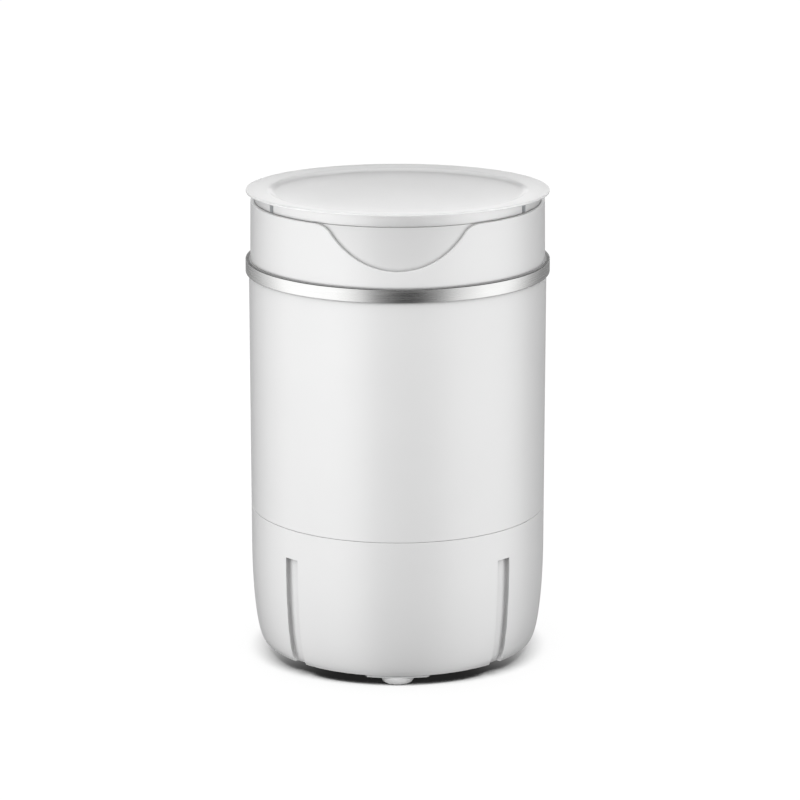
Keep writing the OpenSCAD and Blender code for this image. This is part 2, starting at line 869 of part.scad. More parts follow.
// Die-cast housing between drive plate and tub, with seats for two bushes and the seal
module bearing_housing() {
    lower_seat_z = drive_plate_top + bush_h;
    color([0.66, 0.67, 0.69])
        difference() {
            rotate_extrude()
                polygon([
                    [shaft_bore_r, lower_seat_z], [bush_r + press_gap, lower_seat_z],
                    [bush_r + press_gap, drive_plate_top], [housing_foot_r, drive_plate_top],
                    [housing_foot_r, drive_plate_top + housing_flange_t],
                    [housing_r, drive_plate_top + housing_flange_t],
                    [housing_r, housing_top_z - housing_flange_t],
                    [housing_top_r, housing_top_z - housing_flange_t], [housing_top_r, housing_top_z],
                    [spigot_ring_r, housing_top_z], [spigot_ring_r, spigot_top_z],
                    [seal_r + press_gap, spigot_top_z], [seal_r + press_gap, seal_z],
                    [bush_r + press_gap, seal_z], [bush_r + press_gap, upper_bush_z],
                    [shaft_bore_r, upper_bush_z]
                ]);
            around(4, tub_screw_ring_r, 45)
                translate([0, 0, housing_top_z - housing_flange_t - over])
                    cylinder(r = screw_r, h = housing_flange_t + 2 * over);
            around(4, housing_bolt_ring_r, 45)
                translate([0, 0, drive_plate_top - over])
                    cylinder(r = screw_r + hole_gap, h = housing_flange_t + 2 * over);
        }
}

module housing_bolts() {
    color([0.75, 0.75, 0.77])
        around(4, housing_bolt_ring_r, 45)
            translate([0, 0, drive_plate_top + housing_flange_t])
                big_screw(housing_flange_t + drive_plate_t);
}

module tub_screws() {
    color([0.80, 0.80, 0.82])
        around(4, tub_screw_ring_r, 45)
            translate([0, 0, tub_floor_top]) big_screw(tub_floor_t + gasket_t + housing_flange_t);
}

module tub_gasket() {
    color([0.25, 0.25, 0.26])
        difference() {
            ring(housing_top_r, spigot_ring_r + slip_gap, housing_top_z, gasket_t);
            around(4, tub_screw_ring_r, 45)
                translate([0, 0, housing_top_z - over])
                    cylinder(r = screw_r + hole_gap, h = gasket_t + 2 * over);
        }
}

module upper_bush() {
    color([0.72, 0.55, 0.32])
        ring(bush_r, shaft_r + running_gap, upper_bush_z, bush_h);
}

module lower_bush() {
    color([0.72, 0.55, 0.32])
        ring(bush_r, shaft_r + running_gap, drive_plate_top, bush_h);
}

module shaft_seal() {
    color([0.18, 0.18, 0.19])
        ring(seal_r, shaft_r + running_gap, seal_z, seal_h);
}

// Steel shaft with a threaded lower end and a shoulder under the pulsator
module drive_shaft() {
    color([0.78, 0.78, 0.80])
        difference() {
            union() {
                translate([0, 0, pulley_z]) cylinder(r = shaft_r, h = cap_floor_z - pulley_z);
                translate([0, 0, shaft_end_z]) cylinder(r = thread_r, h = pulley_z - shaft_end_z);
                translate([0, 0, hub_z - collar_ring_h]) cylinder(r = collar_ring_r, h = collar_ring_h);
            }
            translate([0, 0, cap_floor_z - centre_screw_len - over])
                cylinder(r = centre_screw_r + press_gap, h = centre_screw_len + 2 * over);
        }
}

// Height of the pulsator's upper face at a radius
function crown_at(r) =
    let (rim_top = pulsator_rim_z + pulsator_sheet)
    rim_top + (crown_z - rim_top) * (1 + cos(180 * r / pulsator_r)) / 2;

// Domed disc with radial vanes, hollow below, with a hub on the shaft
module pulsator() {
    steps = 14;
    under_from = hub_r - press_gap;
    top = [for (i = [0 : steps]) let (r = pulsator_r * i / steps) [r, crown_at(r)]];
    under = [
        for (i = [steps : -1 : 0])
            let (r = under_from + (pulsator_r - under_from) * i / steps)
            [r, crown_at(r) - pulsator_sheet]
    ];
    vane_inset = 5;
    vane_from = cap_r + vane_inset;
    vane_to = pulsator_r - vane_inset;
    vane_top = [
        for (i = [0 : steps])
            let (r = vane_from + (vane_to - vane_from) * i / steps)
            [r, crown_at(r) + vane_rise * sin(180 * (0.08 + 0.84 * i / steps))]
    ];
    vane_root = [for (i = [steps : -1 : 0]) let (r = vane_top[i][0]) [r, crown_at(r) - over]];
    color([0.88, 0.89, 0.90])
        difference() {
            union() {
                rotate_extrude() polygon(concat(top, under, [[0, crown_at(0) - pulsator_sheet]]));
                translate([0, 0, hub_z]) cylinder(r = hub_r, h = crown_z - hub_z - over);
                translate([0, 0, cap_floor_z - pulsator_sheet])
                    cylinder(r = cap_r + pulsator_sheet, h = cap_pocket_h);
                for (i = [0 : vane_count - 1])
                    rotate(i * 360 / vane_count)
                        rotate([90, 0, 0])
                            translate([0, 0, -vane_t / 2])
                                linear_extrude(height = vane_t) polygon(concat(vane_top, vane_root));
            }
            translate([0, 0, cap_floor_z]) cylinder(r = cap_r + press_gap, h = 2 * cap_pocket_h);
            translate([0, 0, hub_z - over]) cylinder(r = shaft_r + press_gap, h = crown_z);
        }
}

module pulsator_screw() {
    color([0.80, 0.80, 0.82])
        translate([0, 0, cap_floor_z])
            pan_screw(centre_screw_r, collar_ring_r, centre_head_h, centre_screw_len);
}

module pulsator_cap() {
    cap_z = cap_floor_z + centre_head_h + slip_gap;
    cap_top = crown_z + cap_rim;
    color([0.80, 0.82, 0.84])
        rotate_extrude()
            polygon([
                [0, cap_z], [cap_r, cap_z], [cap_r, cap_top - cap_rim],
                [cap_r - cap_rim, cap_top], [0, cap_top]
            ]);
}

// Belt pulley: flanges, belt groove, web with openings and hub
module driven_pulley() {
    rim_r = driven_pulley_r;
    root_r = driven_belt_ro - belt_t - belt_side_gap;
    web_t = 4;
    web_z = pulley_z + (pulley_h - web_t) / 2;
    inner_r = root_r - web_t;
    opening_r = (inner_r - pulley_hub_r) * 0.32;
    color([0.30, 0.31, 0.33])
        difference() {
            rotate_extrude()
                polygon([
                    [shaft_r + press_gap, pulley_z], [pulley_hub_r, pulley_z], [pulley_hub_r, web_z],
                    [inner_r, web_z], [inner_r, pulley_z], [rim_r, pulley_z],
                    [rim_r, belt_z - belt_side_gap], [root_r, belt_z - belt_side_gap],
                    [root_r, belt_z + belt_h + belt_side_gap], [rim_r, belt_z + belt_h + belt_side_gap],
                    [rim_r, pulley_top_z], [inner_r, pulley_top_z], [inner_r, web_z + web_t],
                    [pulley_hub_r, web_z + web_t], [pulley_hub_r, hub_top_z],
                    [shaft_r + press_gap, hub_top_z]
                ]);
            around(6, (inner_r + pulley_hub_r) / 2)
                translate([0, 0, web_z - over]) cylinder(r = opening_r, h = web_t + 2 * over);
        }
}

module pulley_washer() {
    color([0.78, 0.78, 0.80])
        ring(washer_r, thread_r + hole_gap, pulley_z - washer_t, washer_t);
}

module pulley_nut() {
    color([0.70, 0.70, 0.72])
        translate([0, 0, pulley_z - washer_t - nut_h])
            difference() {
                cylinder(r = nut_r, h = nut_h, $fn = 6);
                translate([0, 0, -over]) cylinder(r = thread_r + press_gap, h = nut_h + 2 * over);
            }
}

// Outline of a belt run around both pulleys, at one radius on each
module belt_run(driven_r, small_r) {
    lean = asin((driven_r - small_r) / motor_offset);
    polygon(concat(
        arc([0, 0], driven_r, -lean, 180 + lean, 48),
        arc([0, -motor_offset], small_r, 180 + lean, 360 - lean, 16)
    ));
}

module drive_belt() {
    color([0.12, 0.12, 0.13])
        translate([0, 0, belt_z])
            linear_extrude(height = belt_h)
                difference() {
                    belt_run(driven_belt_ro, motor_belt_ro);
                    belt_run(driven_belt_ro - belt_t, motor_belt_ro - belt_t);
                }
}

module motor_pulley() {
    rim_r = motor_pulley_r;
    root_r = motor_belt_ro - belt_t - belt_side_gap;
    bore_r = motor_shaft_r + press_gap;
    color([0.72, 0.73, 0.75])
        translate([0, -motor_offset, 0])
            rotate_extrude()
                polygon([
                    [bore_r, pulley_z], [rim_r, pulley_z], [rim_r, belt_z - belt_side_gap],
                    [root_r, belt_z - belt_side_gap], [root_r, belt_z + belt_h + belt_side_gap],
                    [rim_r, belt_z + belt_h + belt_side_gap], [rim_r, pulley_top_z],
                    [bore_r, pulley_top_z]
                ]);
}

module motor_shaft() {
    color([0.78, 0.78, 0.80])
        translate([0, -motor_offset, pulley_z - over])
            cylinder(r = motor_shaft_r, h = motor_shaft_top - pulley_z + over);
}

module motor_armature() {
    color([0.55, 0.45, 0.38])
        translate([0, -motor_offset, 0])
            ring(
                armature_r, motor_shaft_r + press_gap, motor_can_z + armature_clear,
                motor_can_top - motor_can_z - 2 * armature_clear
            );
}

module motor_can() {
    color([0.62, 0.63, 0.65])
        translate([0, -motor_offset, motor_can_z])
            difference() {
                cylinder(r = motor_r, h = motor_can_top - motor_can_z);
                translate([0, 0, -over])
                    cylinder(r = motor_r - motor_wall, h = motor_can_top - motor_can_z - motor_wall + over);
            }
}

// End shield of the motor: it seats on the drive plate, guides the shaft and carries the terminals
module motor_end_cap() {
    color([0.30, 0.30, 0.32])
        translate([0, -motor_offset, drive_plate_top])
            difference() {
                union() {
                    cylinder(r = motor_r, h = motor_cap_t);
                    translate([0, -terminal_w / 2, 0])
                        cube([motor_r + terminal_len, terminal_w, motor_cap_t]);
                    translate([motor_r + slip_gap, -terminal_w / 2, 0])
                        cube([terminal_len - slip_gap, terminal_w, motor_cap_t + terminal_h]);
                }
                translate([0, 0, -over])
                    cylinder(r = motor_shaft_r + running_gap, h = motor_cap_t + 2 * over);
                translate([0, motor_offset, -drive_plate_top])
                    motor_screw_places()
                        translate([0, 0, drive_plate_top - over])
                            cylinder(r = screw_r, h = motor_cap_t + 2 * over);
            }
}

module motor_magnets() {
    gap_w = 12;
    magnet_h = motor_can_top - motor_can_z - armature_clear;
    color([0.28, 0.28, 0.30])
        translate([0, -motor_offset, 0])
            difference() {
                ring(magnet_ro, magnet_ri, motor_can_z + armature_clear / 2, magnet_h);
                translate([-motor_r, -gap_w / 2, motor_can_z])
                    cube([2 * motor_r, gap_w, motor_can_top - motor_can_z]);
            }
}

module motor_screws() {
    color([0.75, 0.75, 0.77])
        motor_screw_places()
            translate([0, 0, drive_plate_z]) mirror([0, 0, 1]) big_screw(drive_plate_t + motor_cap_t);
}

// Flat panel at the back of the bay, with openings for the timer, the drain and the cord
module rear_panel() {
    color([0.86, 0.87, 0.88])
        difference() {
            translate([-bay_side + slip_gap, panel_back_y, bay_z + slip_gap])
                cube([bay_w - 2 * slip_gap, panel_t, bay_h - 2 * slip_gap]);
            on_panel(0, panel_back_y - over, timer_z)
                cylinder(r = timer_shaft_r + timer_hole_gap, h = panel_t + 2 * over);
            on_panel(-outlet_x, panel_back_y - over, outlet_z)
                cylinder(r = pipe_r + slip_gap, h = panel_t + 2 * over);
            on_panel(outlet_x, panel_back_y - over, outlet_z)
                cylinder(r = gland_r + press_gap, h = panel_t + 2 * over);
            panel_screw_places()
                translate([0, 0, -panel_t - over])
                    cylinder(r = small_screw_r + hole_gap, h = panel_t + 2 * over);
            timer_screw_places()
                translate([0, 0, -panel_t - over])
                    cylinder(r = small_screw_r + hole_gap, h = panel_t + 2 * over);
        }
}

module panel_screws() {
    color([0.75, 0.75, 0.77])
        panel_screw_places() small_screw(panel_t + ledge_depth);
}

// Clockwork timer behind the panel
module timer_body() {
    color([0.85, 0.83, 0.78])
        difference() {
            translate([-timer_w / 2, panel_back_y - timer_depth, timer_z - timer_h / 2])
                cube([timer_w, timer_depth, timer_h]);
            on_panel(0, panel_back_y - timer_depth / 2, timer_z)
                cylinder(r = timer_shaft_r + running_gap, h = timer_depth);
            timer_screw_places()
                translate([0, 0, -panel_t - timer_depth / 2])
                    cylinder(r = small_screw_r, h = timer_depth / 2 + over);
        }
}

module timer_shaft() {
    tip_y = panel_y + knob_stand + knob_socket_h;
    root_y = panel_back_y - timer_depth / 2 + slip_gap;
    color([0.78, 0.78, 0.80])
        on_panel(0, root_y, timer_z) cylinder(r = timer_shaft_r, h = tip_y - root_y);
}

// Round knob with a skirt and a raised pointer bar
module timer_knob() {
    skirt_t = 3;
    skirt_step = 1;
    taper = 1.5;
    crown_r = knob_r - skirt_step - taper;
    bar_w = 8;
    bar_inset = 1;
    color([0.93, 0.93, 0.93])
        difference() {
            on_panel(0, panel_y + knob_stand, timer_z)
                union() {
                    cylinder(r = knob_r, h = skirt_t);
                    translate([0, 0, skirt_t])
                        cylinder(r1 = knob_r - skirt_step, r2 = crown_r, h = knob_h / 2 - skirt_t);
                    intersection() {
                        cylinder(r = crown_r - bar_inset, h = knob_h);
                        translate([-bar_w / 2, -knob_r, 0]) cube([bar_w, knob_d, knob_h]);
                    }
                }
            on_panel(0, panel_y, timer_z)
                cylinder(r = timer_shaft_r + press_gap, h = knob_stand + knob_socket_h);
        }
}

module timer_screws() {
    color([0.75, 0.75, 0.77])
        timer_screw_places() small_screw(panel_t + timer_depth / 2 - over);
}

// Rubber grommet that the supply cord passes through
module cord_gland() {
    waist_t = panel_t;
    color([0.22, 0.22, 0.23])
        on_panel(outlet_x, panel_back_y - gland_flange, outlet_z)
            difference() {
                union() {
                    cylinder(r = gland_r, h = waist_t + 2 * gland_flange);
                    cylinder(r = gland_flange_r, h = gland_flange);
                    translate([0, 0, waist_t + gland_flange])
                        cylinder(r1 = gland_flange_r, r2 = gland_r + gland_flange / 2, h = gland_flange);
                }
                translate([0, 0, -over])
                    cylinder(r = gland_bore_d / 2, h = waist_t + 2 * gland_flange + 2 * over);
            }
}

module drain_strainer() {
    hole_r = strainer_r * 0.16;
    color([0.80, 0.80, 0.82])
        translate([-outlet_x, drain_y, tub_floor_top - strainer_t])
            difference() {
                cylinder(r = strainer_r, h = strainer_t);
                translate([0, 0, -over]) {
                    cylinder(r = hole_r, h = strainer_t + 2 * over);
                    around(6, strainer_r * 0.42) cylinder(r = hole_r, h = strainer_t + 2 * over);
                }
            }
}

module drain_seal() {
    color([0.25, 0.25, 0.26])
        translate([-outlet_x, drain_y, 0])
            ring(socket_r, nipple_r + slip_gap, elbow_top_z, drain_seal_t);
}

// Elbow from the tub's nipple to the spigot that stands out of the rear panel
module drain_elbow() {
    shoulder_y = panel_y + over;
    socket_h = nipple_h - drain_seal_t;
    color([0.82, 0.83, 0.84])
        difference() {
            union() {
                translate([-outlet_x, drain_y, outlet_z])
                    cylinder(r = pipe_r, h = elbow_top_z - outlet_z);
                translate([-outlet_x, drain_y, elbow_top_z - socket_h - socket_wall])
                    cylinder(r = socket_r, h = socket_h + socket_wall);
                translate([-outlet_x, drain_y, outlet_z]) sphere(r = pipe_r);
                on_panel(-outlet_x, drain_y, outlet_z) {
                    cylinder(r = pipe_r, h = shoulder_y - drain_y);
                    cylinder(r = spigot_d / 2, h = panel_y + spigot_len - drain_y);
                }
            }
            translate([-outlet_x, drain_y, outlet_z])
                cylinder(r = pipe_bore_r, h = elbow_top_z - outlet_z + over);
            translate([-outlet_x, drain_y, elbow_top_z - socket_h - slip_gap])
                cylinder(r = nipple_r + slip_gap, h = socket_h + over);
            translate([-outlet_x, drain_y, outlet_z]) sphere(r = pipe_bore_r);
            on_panel(-outlet_x, drain_y, outlet_z)
                cylinder(r = pipe_bore_r, h = panel_y + spigot_len - drain_y + over);
        }
}

// Rubber bung that closes the spigot and pulls straight out
module drain_plug() {
    tip_y = panel_y + spigot_len + slip_gap;
    color([0.30, 0.31, 0.33])
        on_panel(-outlet_x, tip_y - slip_gap - plug_len, outlet_z) {
            cylinder(r1 = pipe_bore_r - 2 * plug_gap, r2 = pipe_bore_r - plug_gap, h = plug_len + slip_gap);
            translate([0, 0, plug_len + slip_gap])
                cylinder(r = spigot_d / 2 - plug_head_inset, h = plug_head_t - slip_gap);
        }
}

// Supply board with its terminal block and rectifier soldered on
module circuit_board() {
    sunk = 0.1;
    color([0.20, 0.42, 0.28])
        difference() {
            union() {
                translate([board_x, board_y, board_z]) cube([board_w, board_l, board_t]);
                translate([board_x + 0.1 * board_w, board_y + 0.23 * board_l, board_top_z - sunk])
                    cube([0.22 * board_w, 0.53 * board_l, block_h + sunk]);
                translate([board_x + 0.45 * board_w, rectifier_y, board_top_z - sunk])
                    cube([0.4 * board_w, 0.1 * board_l, rectifier_h + sunk]);
            }
            board_post_places()
                translate([0, 0, board_z - over])
                    cylinder(r = small_screw_r + hole_gap, h = board_t + 2 * over);
        }
}

module smoothing_capacitor() {
    color([0.16, 0.18, 0.24])
        translate([board_x + 0.65 * board_w, board_y + 0.7 * board_l, board_top_z])
            cylinder(r = 0.25 * board_w, h = capacitor_h);
}

module board_screws() {
    color([0.75, 0.75, 0.77])
        board_post_places()
            translate([0, 0, board_top_z]) small_screw(board_t + post_h - over);
}

// Point on a smooth curve through a route's points
function route_point(p, i, t) =
    let (
        last = len(p) - 1,
        a = p[max(i - 1, 0)],
        b = p[i],
        c = p[min(i + 1, last)],
        d = p[min(i + 2, last)]
    )
    0.5 * (2 * b + (c - a) * t + (2 * a - 5 * b + 4 * c - d) * t * t + (3 * b - a - 3 * c + d) * t * t * t);

function unit(v) = v / norm(v);

// Round lead swept along a route, closed at both ends
module lead(points, r) {
    sides = 8;
    steps = 4;
    path = concat(
        [for (i = [0 : len(points) - 2]) for (k = [0 : steps - 1]) route_point(points, i, k / steps)],
        [points[len(points) - 1]]
    );
    last = len(path) - 1;
    side_ref = [0.31, 0.52, 0.79];
    rings = [
        for (i = [0 : last])
            let (
                along = i == 0 ? unit(points[1] - points[0])
                    : i == last ? unit(points[len(points) - 1] - points[len(points) - 2])
                    : unit(path[i + 1] - path[i - 1]),
                u = unit(cross(along, side_ref)),
                v = cross(along, u)
            )
            for (s = [0 : sides - 1])
                path[i] + r * (cos(360 * s / sides) * u + sin(360 * s / sides) * v)
    ];
    walls = [
        for (i = [0 : last - 1])
            for (s = [0 : sides - 1])
                let (a = i * sides + s, b = i * sides + (s + 1) % sides)
                each [[a, a + sides, b], [b, a + sides, b + sides]]
    ];
    first_end = [for (s = [1 : sides - 2]) [0, s, s + 1]];
    last_end = [for (s = [1 : sides - 2]) [last * sides, last * sides + s + 1, last * sides + s]];
    polyhedron(points = rings, faces = concat(walls, first_end, last_end));
}

// Two leads from the board's rectifier to the motor's terminals
module motor_leads() {
    exit_x = board_x + 0.65 * board_w;
    exit_z = board_top_z + rectifier_h / 2;
    motor_x = motor_r + terminal_len;
    terminal_z = motor_can_z + terminal_h / 2;
    for (side = [-lead_pitch / 2, lead_pitch / 2])
        color(side < 0 ? [0.65, 0.12, 0.10] : [0.12, 0.12, 0.13])
            lead(
                [
                    [exit_x + side, rectifier_y, exit_z],
                    [exit_x + side, board_y - lead_run, exit_z],
                    [exit_x + side, (board_y - motor_offset) / 2 - lead_run, (exit_z + terminal_z) / 2],
                    [board_x + lead_run + side, side - motor_offset, terminal_z - lead_run],
                    [motor_x + lead_run, side - motor_offset, terminal_z],
                    [motor_x, side - motor_offset, terminal_z]
                ],
                lead_r
            );
}

// Two leads from the timer's underside to the board's terminal block
module timer_leads() {
    exit_y = panel_back_y - 0.7 * timer_depth;
    timer_bottom = timer_z - timer_h / 2;
    block_x = board_x + 0.21 * board_w;
    block_y = board_y + 0.6 * board_l;
    block_top = board_top_z + block_h;
    for (side = [-lead_pitch / 2, lead_pitch / 2])
        color([0.55, 0.56, 0.60])
            lead(
                [
                    [timer_w / 4 + side, exit_y, timer_bottom],
                    [timer_w / 4 + side, exit_y, timer_bottom - lead_run],
                    [block_x + 0.7 * side, board_y + board_l + lead_run + side, block_top + 2 * lead_run],
                    [block_x + 0.7 * side, block_y, block_top + lead_run],
                    [block_x + 0.7 * side, block_y, block_top]
                ],
                lead_r
            );
}

lid_cover();
top_collar();
trim_band();
wash_tub();
barrel_shell();
base_shell();
base_plate();
foot_front();
foot_right();
foot_rear();
foot_left();
base_screws();
drive_plate();
plate_screws();
bearing_housing();
housing_bolts();
tub_screws();
tub_gasket();
upper_bush();
lower_bush();
shaft_seal();
drive_shaft();
pulsator();
pulsator_screw();
pulsator_cap();
driven_pulley();
pulley_washer();
pulley_nut();
drive_belt();
motor_pulley();
motor_shaft();
motor_armature();
motor_can();
motor_end_cap();
motor_magnets();
motor_screws();
rear_panel();
panel_screws();
timer_body();
timer_shaft();
timer_knob();
timer_screws();
cord_gland();
drain_strainer();
drain_seal();
drain_elbow();
drain_plug();
circuit_board();
smoothing_capacitor();
board_screws();
motor_leads();
timer_leads();
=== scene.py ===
import bmesh
import bpy
import math
from mathutils import Matrix, Vector


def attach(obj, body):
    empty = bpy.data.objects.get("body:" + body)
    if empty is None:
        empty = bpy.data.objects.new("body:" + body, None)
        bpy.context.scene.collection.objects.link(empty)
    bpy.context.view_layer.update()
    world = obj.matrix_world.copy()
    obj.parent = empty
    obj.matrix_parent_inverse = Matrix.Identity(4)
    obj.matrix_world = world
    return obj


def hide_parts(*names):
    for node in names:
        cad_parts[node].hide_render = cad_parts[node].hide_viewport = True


# Portable mini washer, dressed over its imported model: one frame, metres, +Z up, front towards -Y.
# Sizes below are written in millimetres and turned to metres where a mesh is made.
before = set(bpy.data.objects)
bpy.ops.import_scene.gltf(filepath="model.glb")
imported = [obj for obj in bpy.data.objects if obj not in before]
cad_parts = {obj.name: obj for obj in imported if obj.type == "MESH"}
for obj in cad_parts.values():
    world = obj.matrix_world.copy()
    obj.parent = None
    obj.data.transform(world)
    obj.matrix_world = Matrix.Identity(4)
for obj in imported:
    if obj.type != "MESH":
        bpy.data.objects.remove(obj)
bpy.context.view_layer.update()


# Sealed drive under the tub: motor, belt, bearings, board and fasteners.
# Steel, die-cast and sintered pieces, screwed to a pressed plate that stands on the bottom cover.
# Only a lifted cover shows them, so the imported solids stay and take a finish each.
MM = 0.001


def linear(colour):
    """Turns an sRGB hex colour to the linear one that shaders take."""
    parts = [int(colour[i : i + 2], 16) / 255 for i in (1, 3, 5)]
    return tuple(p / 12.92 if p <= 0.04045 else ((p + 0.055) / 1.055) ** 2.4 for p in parts) + (1.0,)


def add(tree, kind, settings=None, links=None):
    """Adds a node; settings are its properties or socket values, and links feed its sockets."""
    made = tree.nodes.new(kind)
    for key, value in (settings or {}).items():
        if isinstance(key, str) and hasattr(made, key):
            setattr(made, key, value)
        else:
            made.inputs[key].default_value = value
    for key, socket in (links or {}).items():
        tree.links.new(socket, made.inputs[key])
    return made


def surface(name, colour, shade, patch, grain, rough, depth, settings, stretch=(1, 1, 1), corners=None, own=False):
    """A finish with uneven tone over patches, a fine grain in its roughness and a shallow bump, sizes in mm.
    Where corners are given, as a reach and a share, painted shade darkens the colour to that share deep in them;
    own leaves out the corners that a piece makes with others."""
    made = bpy.data.materials.new(name)
    made.use_nodes = True
    tree = made.node_tree
    tree.nodes.clear()
    place = add(tree, "ShaderNodeTexCoord").outputs["Object"]
    stretched = add(tree, "ShaderNodeMapping", {"Scale": stretch}, {"Vector": place}).outputs[0]
    tone = add(tree, "ShaderNodeTexNoise", {"Scale": 1 / (patch * MM), "Detail": 2.0}, {"Vector": place})
    fine = add(tree, "ShaderNodeTexNoise", {"Scale": 1 / (grain * MM), "Detail": 3.0}, {"Vector": stretched})
    tint = add(
        tree, "ShaderNodeMix", {"data_type": "RGBA", 6: linear(colour), 7: linear(shade)}, {0: tone.outputs["Fac"]}
    ).outputs[2]
    if corners:
        # Painted shade: ambient occlusion darkens the colour towards the share in corners.
        reach, share = corners
        near = add(tree, "ShaderNodeAmbientOcclusion", {"Distance": reach * MM, "samples": 12, "only_local": own})
        painted_shade = add(
            tree, "ShaderNodeMapRange", {"From Min": 0.5, "From Max": 0.85, "To Min": share, "To Max": 1.0},
            {"Value": near.outputs["AO"]},
        )
        tint = add(
            tree, "ShaderNodeMix", {"data_type": "RGBA", "blend_type": "MULTIPLY", 0: 1.0},
            {6: tint, 7: painted_shade.outputs[0]},
        ).outputs[2]
    dull = add(
        tree, "ShaderNodeMapRange", {"From Min": 0.3, "From Max": 0.7, "To Min": rough[0], "To Max": rough[1]},
        {"Value": fine.outputs["Fac"]},
    )
    bump = add(
        tree, "ShaderNodeBump", {"Strength": 1.0, "Distance": depth * MM}, {"Height": fine.outputs["Fac"]}
    )
    shader = add(
        tree, "ShaderNodeBsdfPrincipled", settings,
        {"Base Color": tint, "Roughness": dull.outputs[0], "Normal": bump.outputs[0]},
    )
    add(tree, "ShaderNodeOutputMaterial", None, {"Surface": shader.outputs[0]})
    return made


def coat(finish, names):
    """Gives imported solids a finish."""
    for name in names.split():
        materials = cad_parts[name].data.materials
        materials.clear()
        materials.append(finish)


# Zinc-plated steel: cool grey with a faint warm bloom and a soft, slightly patchy shine.
zinc_plate = surface(
    "zinc_plated_steel", "#c9cacd", "#bcbab4", patch=4, grain=0.5, rough=(0.26, 0.38), depth=0.004,
    settings={"Metallic": 1.0},
)
coat(zinc_plate, "base_screws plate_screws housing_bolts motor_screws timer_screws board_screws")
coat(zinc_plate, "pulley_washer pulley_nut")
# Pressed galvanised sheet: broad dull spangles and a satin shine.
galvanised_sheet = surface(
    "galvanised_steel_sheet", "#b9bcc0", "#a3a7ab", patch=14, grain=1.2, rough=(0.34, 0.48), depth=0.01,
    settings={"Metallic": 1.0},
)
coat(galvanised_sheet, "drive_plate motor_can")
# Turned steel: bright, with fine rings from the tool along its length.
turned_steel = surface(
    "turned_steel", "#cfd0d2", "#c2c3c6", patch=10, grain=0.6, rough=(0.2, 0.3), depth=0.004,
    settings={"Metallic": 1.0}, stretch=(0.05, 0.05, 1),
)
coat(turned_steel, "drive_shaft motor_shaft timer_shaft")
# Die-cast aluminium: grey, grainy and dull from the mould.
cast_aluminium = surface(
    "die_cast_aluminium", "#b4b6b9", "#a5a7aa", patch=9, grain=0.8, rough=(0.42, 0.58), depth=0.03,
    settings={"Metallic": 1.0},
)
coat(cast_aluminium, "bearing_housing motor_pulley")
# Sintered bronze: warm brown metal with oily pores.
sintered_bronze = surface(
    "sintered_bronze", "#b58c55", "#9b7543", patch=5, grain=0.5, rough=(0.4, 0.55), depth=0.02,
    settings={"Metallic": 1.0},
)
coat(sintered_bronze, "upper_bush lower_bush")
# Black rubber: nearly black and matte with a moulded bloom.
black_rubber = surface(
    "moulded_black_rubber", "#232425", "#2b2c2d", patch=12, grain=0.7, rough=(0.55, 0.7), depth=0.02,
    settings={"IOR": 1.52},
)
coat(black_rubber, "tub_gasket shaft_seal drive_belt drain_seal")
# Glass-filled black polyamide: dark grey with a fine dull grain.
dark_polyamide = surface(
    "dark_polyamide", "#3b3d40", "#45474a", patch=15, grain=0.6, rough=(0.45, 0.58), depth=0.015,
    settings={"IOR": 1.53},
)
coat(dark_polyamide, "driven_pulley motor_end_cap timer_body")
# Ferrite: charcoal, matte and stony.
ferrite = surface(
    "sintered_ferrite", "#3a3a3d", "#454547", patch=6, grain=0.5, rough=(0.6, 0.75), depth=0.03,
    settings={"IOR": 1.6},
)
coat(ferrite, "motor_magnets")
# Stacked core plates under varnished copper: brown, with the plates' edges as fine rings.
wound_core = surface(
    "varnished_core_plates", "#7a5f4c", "#6a4a35", patch=6, grain=0.5, rough=(0.3, 0.45), depth=0.04,
    settings={"Metallic": 0.6}, stretch=(0.1, 0.1, 1),
)
coat(wound_core, "motor_armature")
# Solder mask on glass laminate: deep green with a slight weave and a soft gloss.
green_laminate = surface(
    "green_solder_mask", "#2a6644", "#245a3c", patch=3, grain=0.4, rough=(0.28, 0.38), depth=0.006,
    settings={"IOR": 1.5},
)
coat(green_laminate, "circuit_board")
# Shrunk sleeve: very dark blue, smooth and glossy.
shrink_sleeve = surface(
    "dark_shrink_sleeve", "#1f2433", "#262b3b", patch=8, grain=1.0, rough=(0.2, 0.3), depth=0.004,
    settings={"IOR": 1.5},
)
coat(shrink_sleeve, "smoothing_capacitor")
# Soft insulation on stranded wire: muted red, slightly waxy.
wire_insulation = surface(
    "soft_wire_insulation", "#8a3a33", "#7c312b", patch=4, grain=0.6, rough=(0.4, 0.5), depth=0.01,
    settings={"IOR": 1.53},
)
coat(wire_insulation, "motor_leads timer_leads")


# Bottom cover: a moulded ABS disc with four pads, screwed up into the casing.
# It carries the drive on four columns; only its pads show, as a lip above each foot.
# Grained white ABS: dull and a little greyer than the casing.
white_grain = surface(
    "grained_white_abs", "#dcdddd", "#d5d6d6", patch=25, grain=0.9, rough=(0.44, 0.54), depth=0.02,
    settings={"IOR": 1.53},
)
coat(white_grain, "base_plate")


# Feet: four soft white rubber buttons, pushed into the bottom cover by their stems.
# Each flares upwards from a flat tread with a rounded edge.
foot_ring_r = 94.6
foot_outline = [(0, 0, 0), (11.6, 0, 1.6), (13.9, 4.6, 2.0), (13.9, 7.05, 0.4), (0, 7.05, 0)]
# Corners closer than this, in metres, are one.
merge_gap = 2e-6


def rounded(mesh, geom, size, segments, affect="EDGES"):
    """Rounds edges or corners by a size in mm."""
    bmesh.ops.bevel(
        mesh, geom=geom, offset=size * MM, offset_type="OFFSET", affect=affect, segments=segments, profile=0.5,
        material=-1,
    )


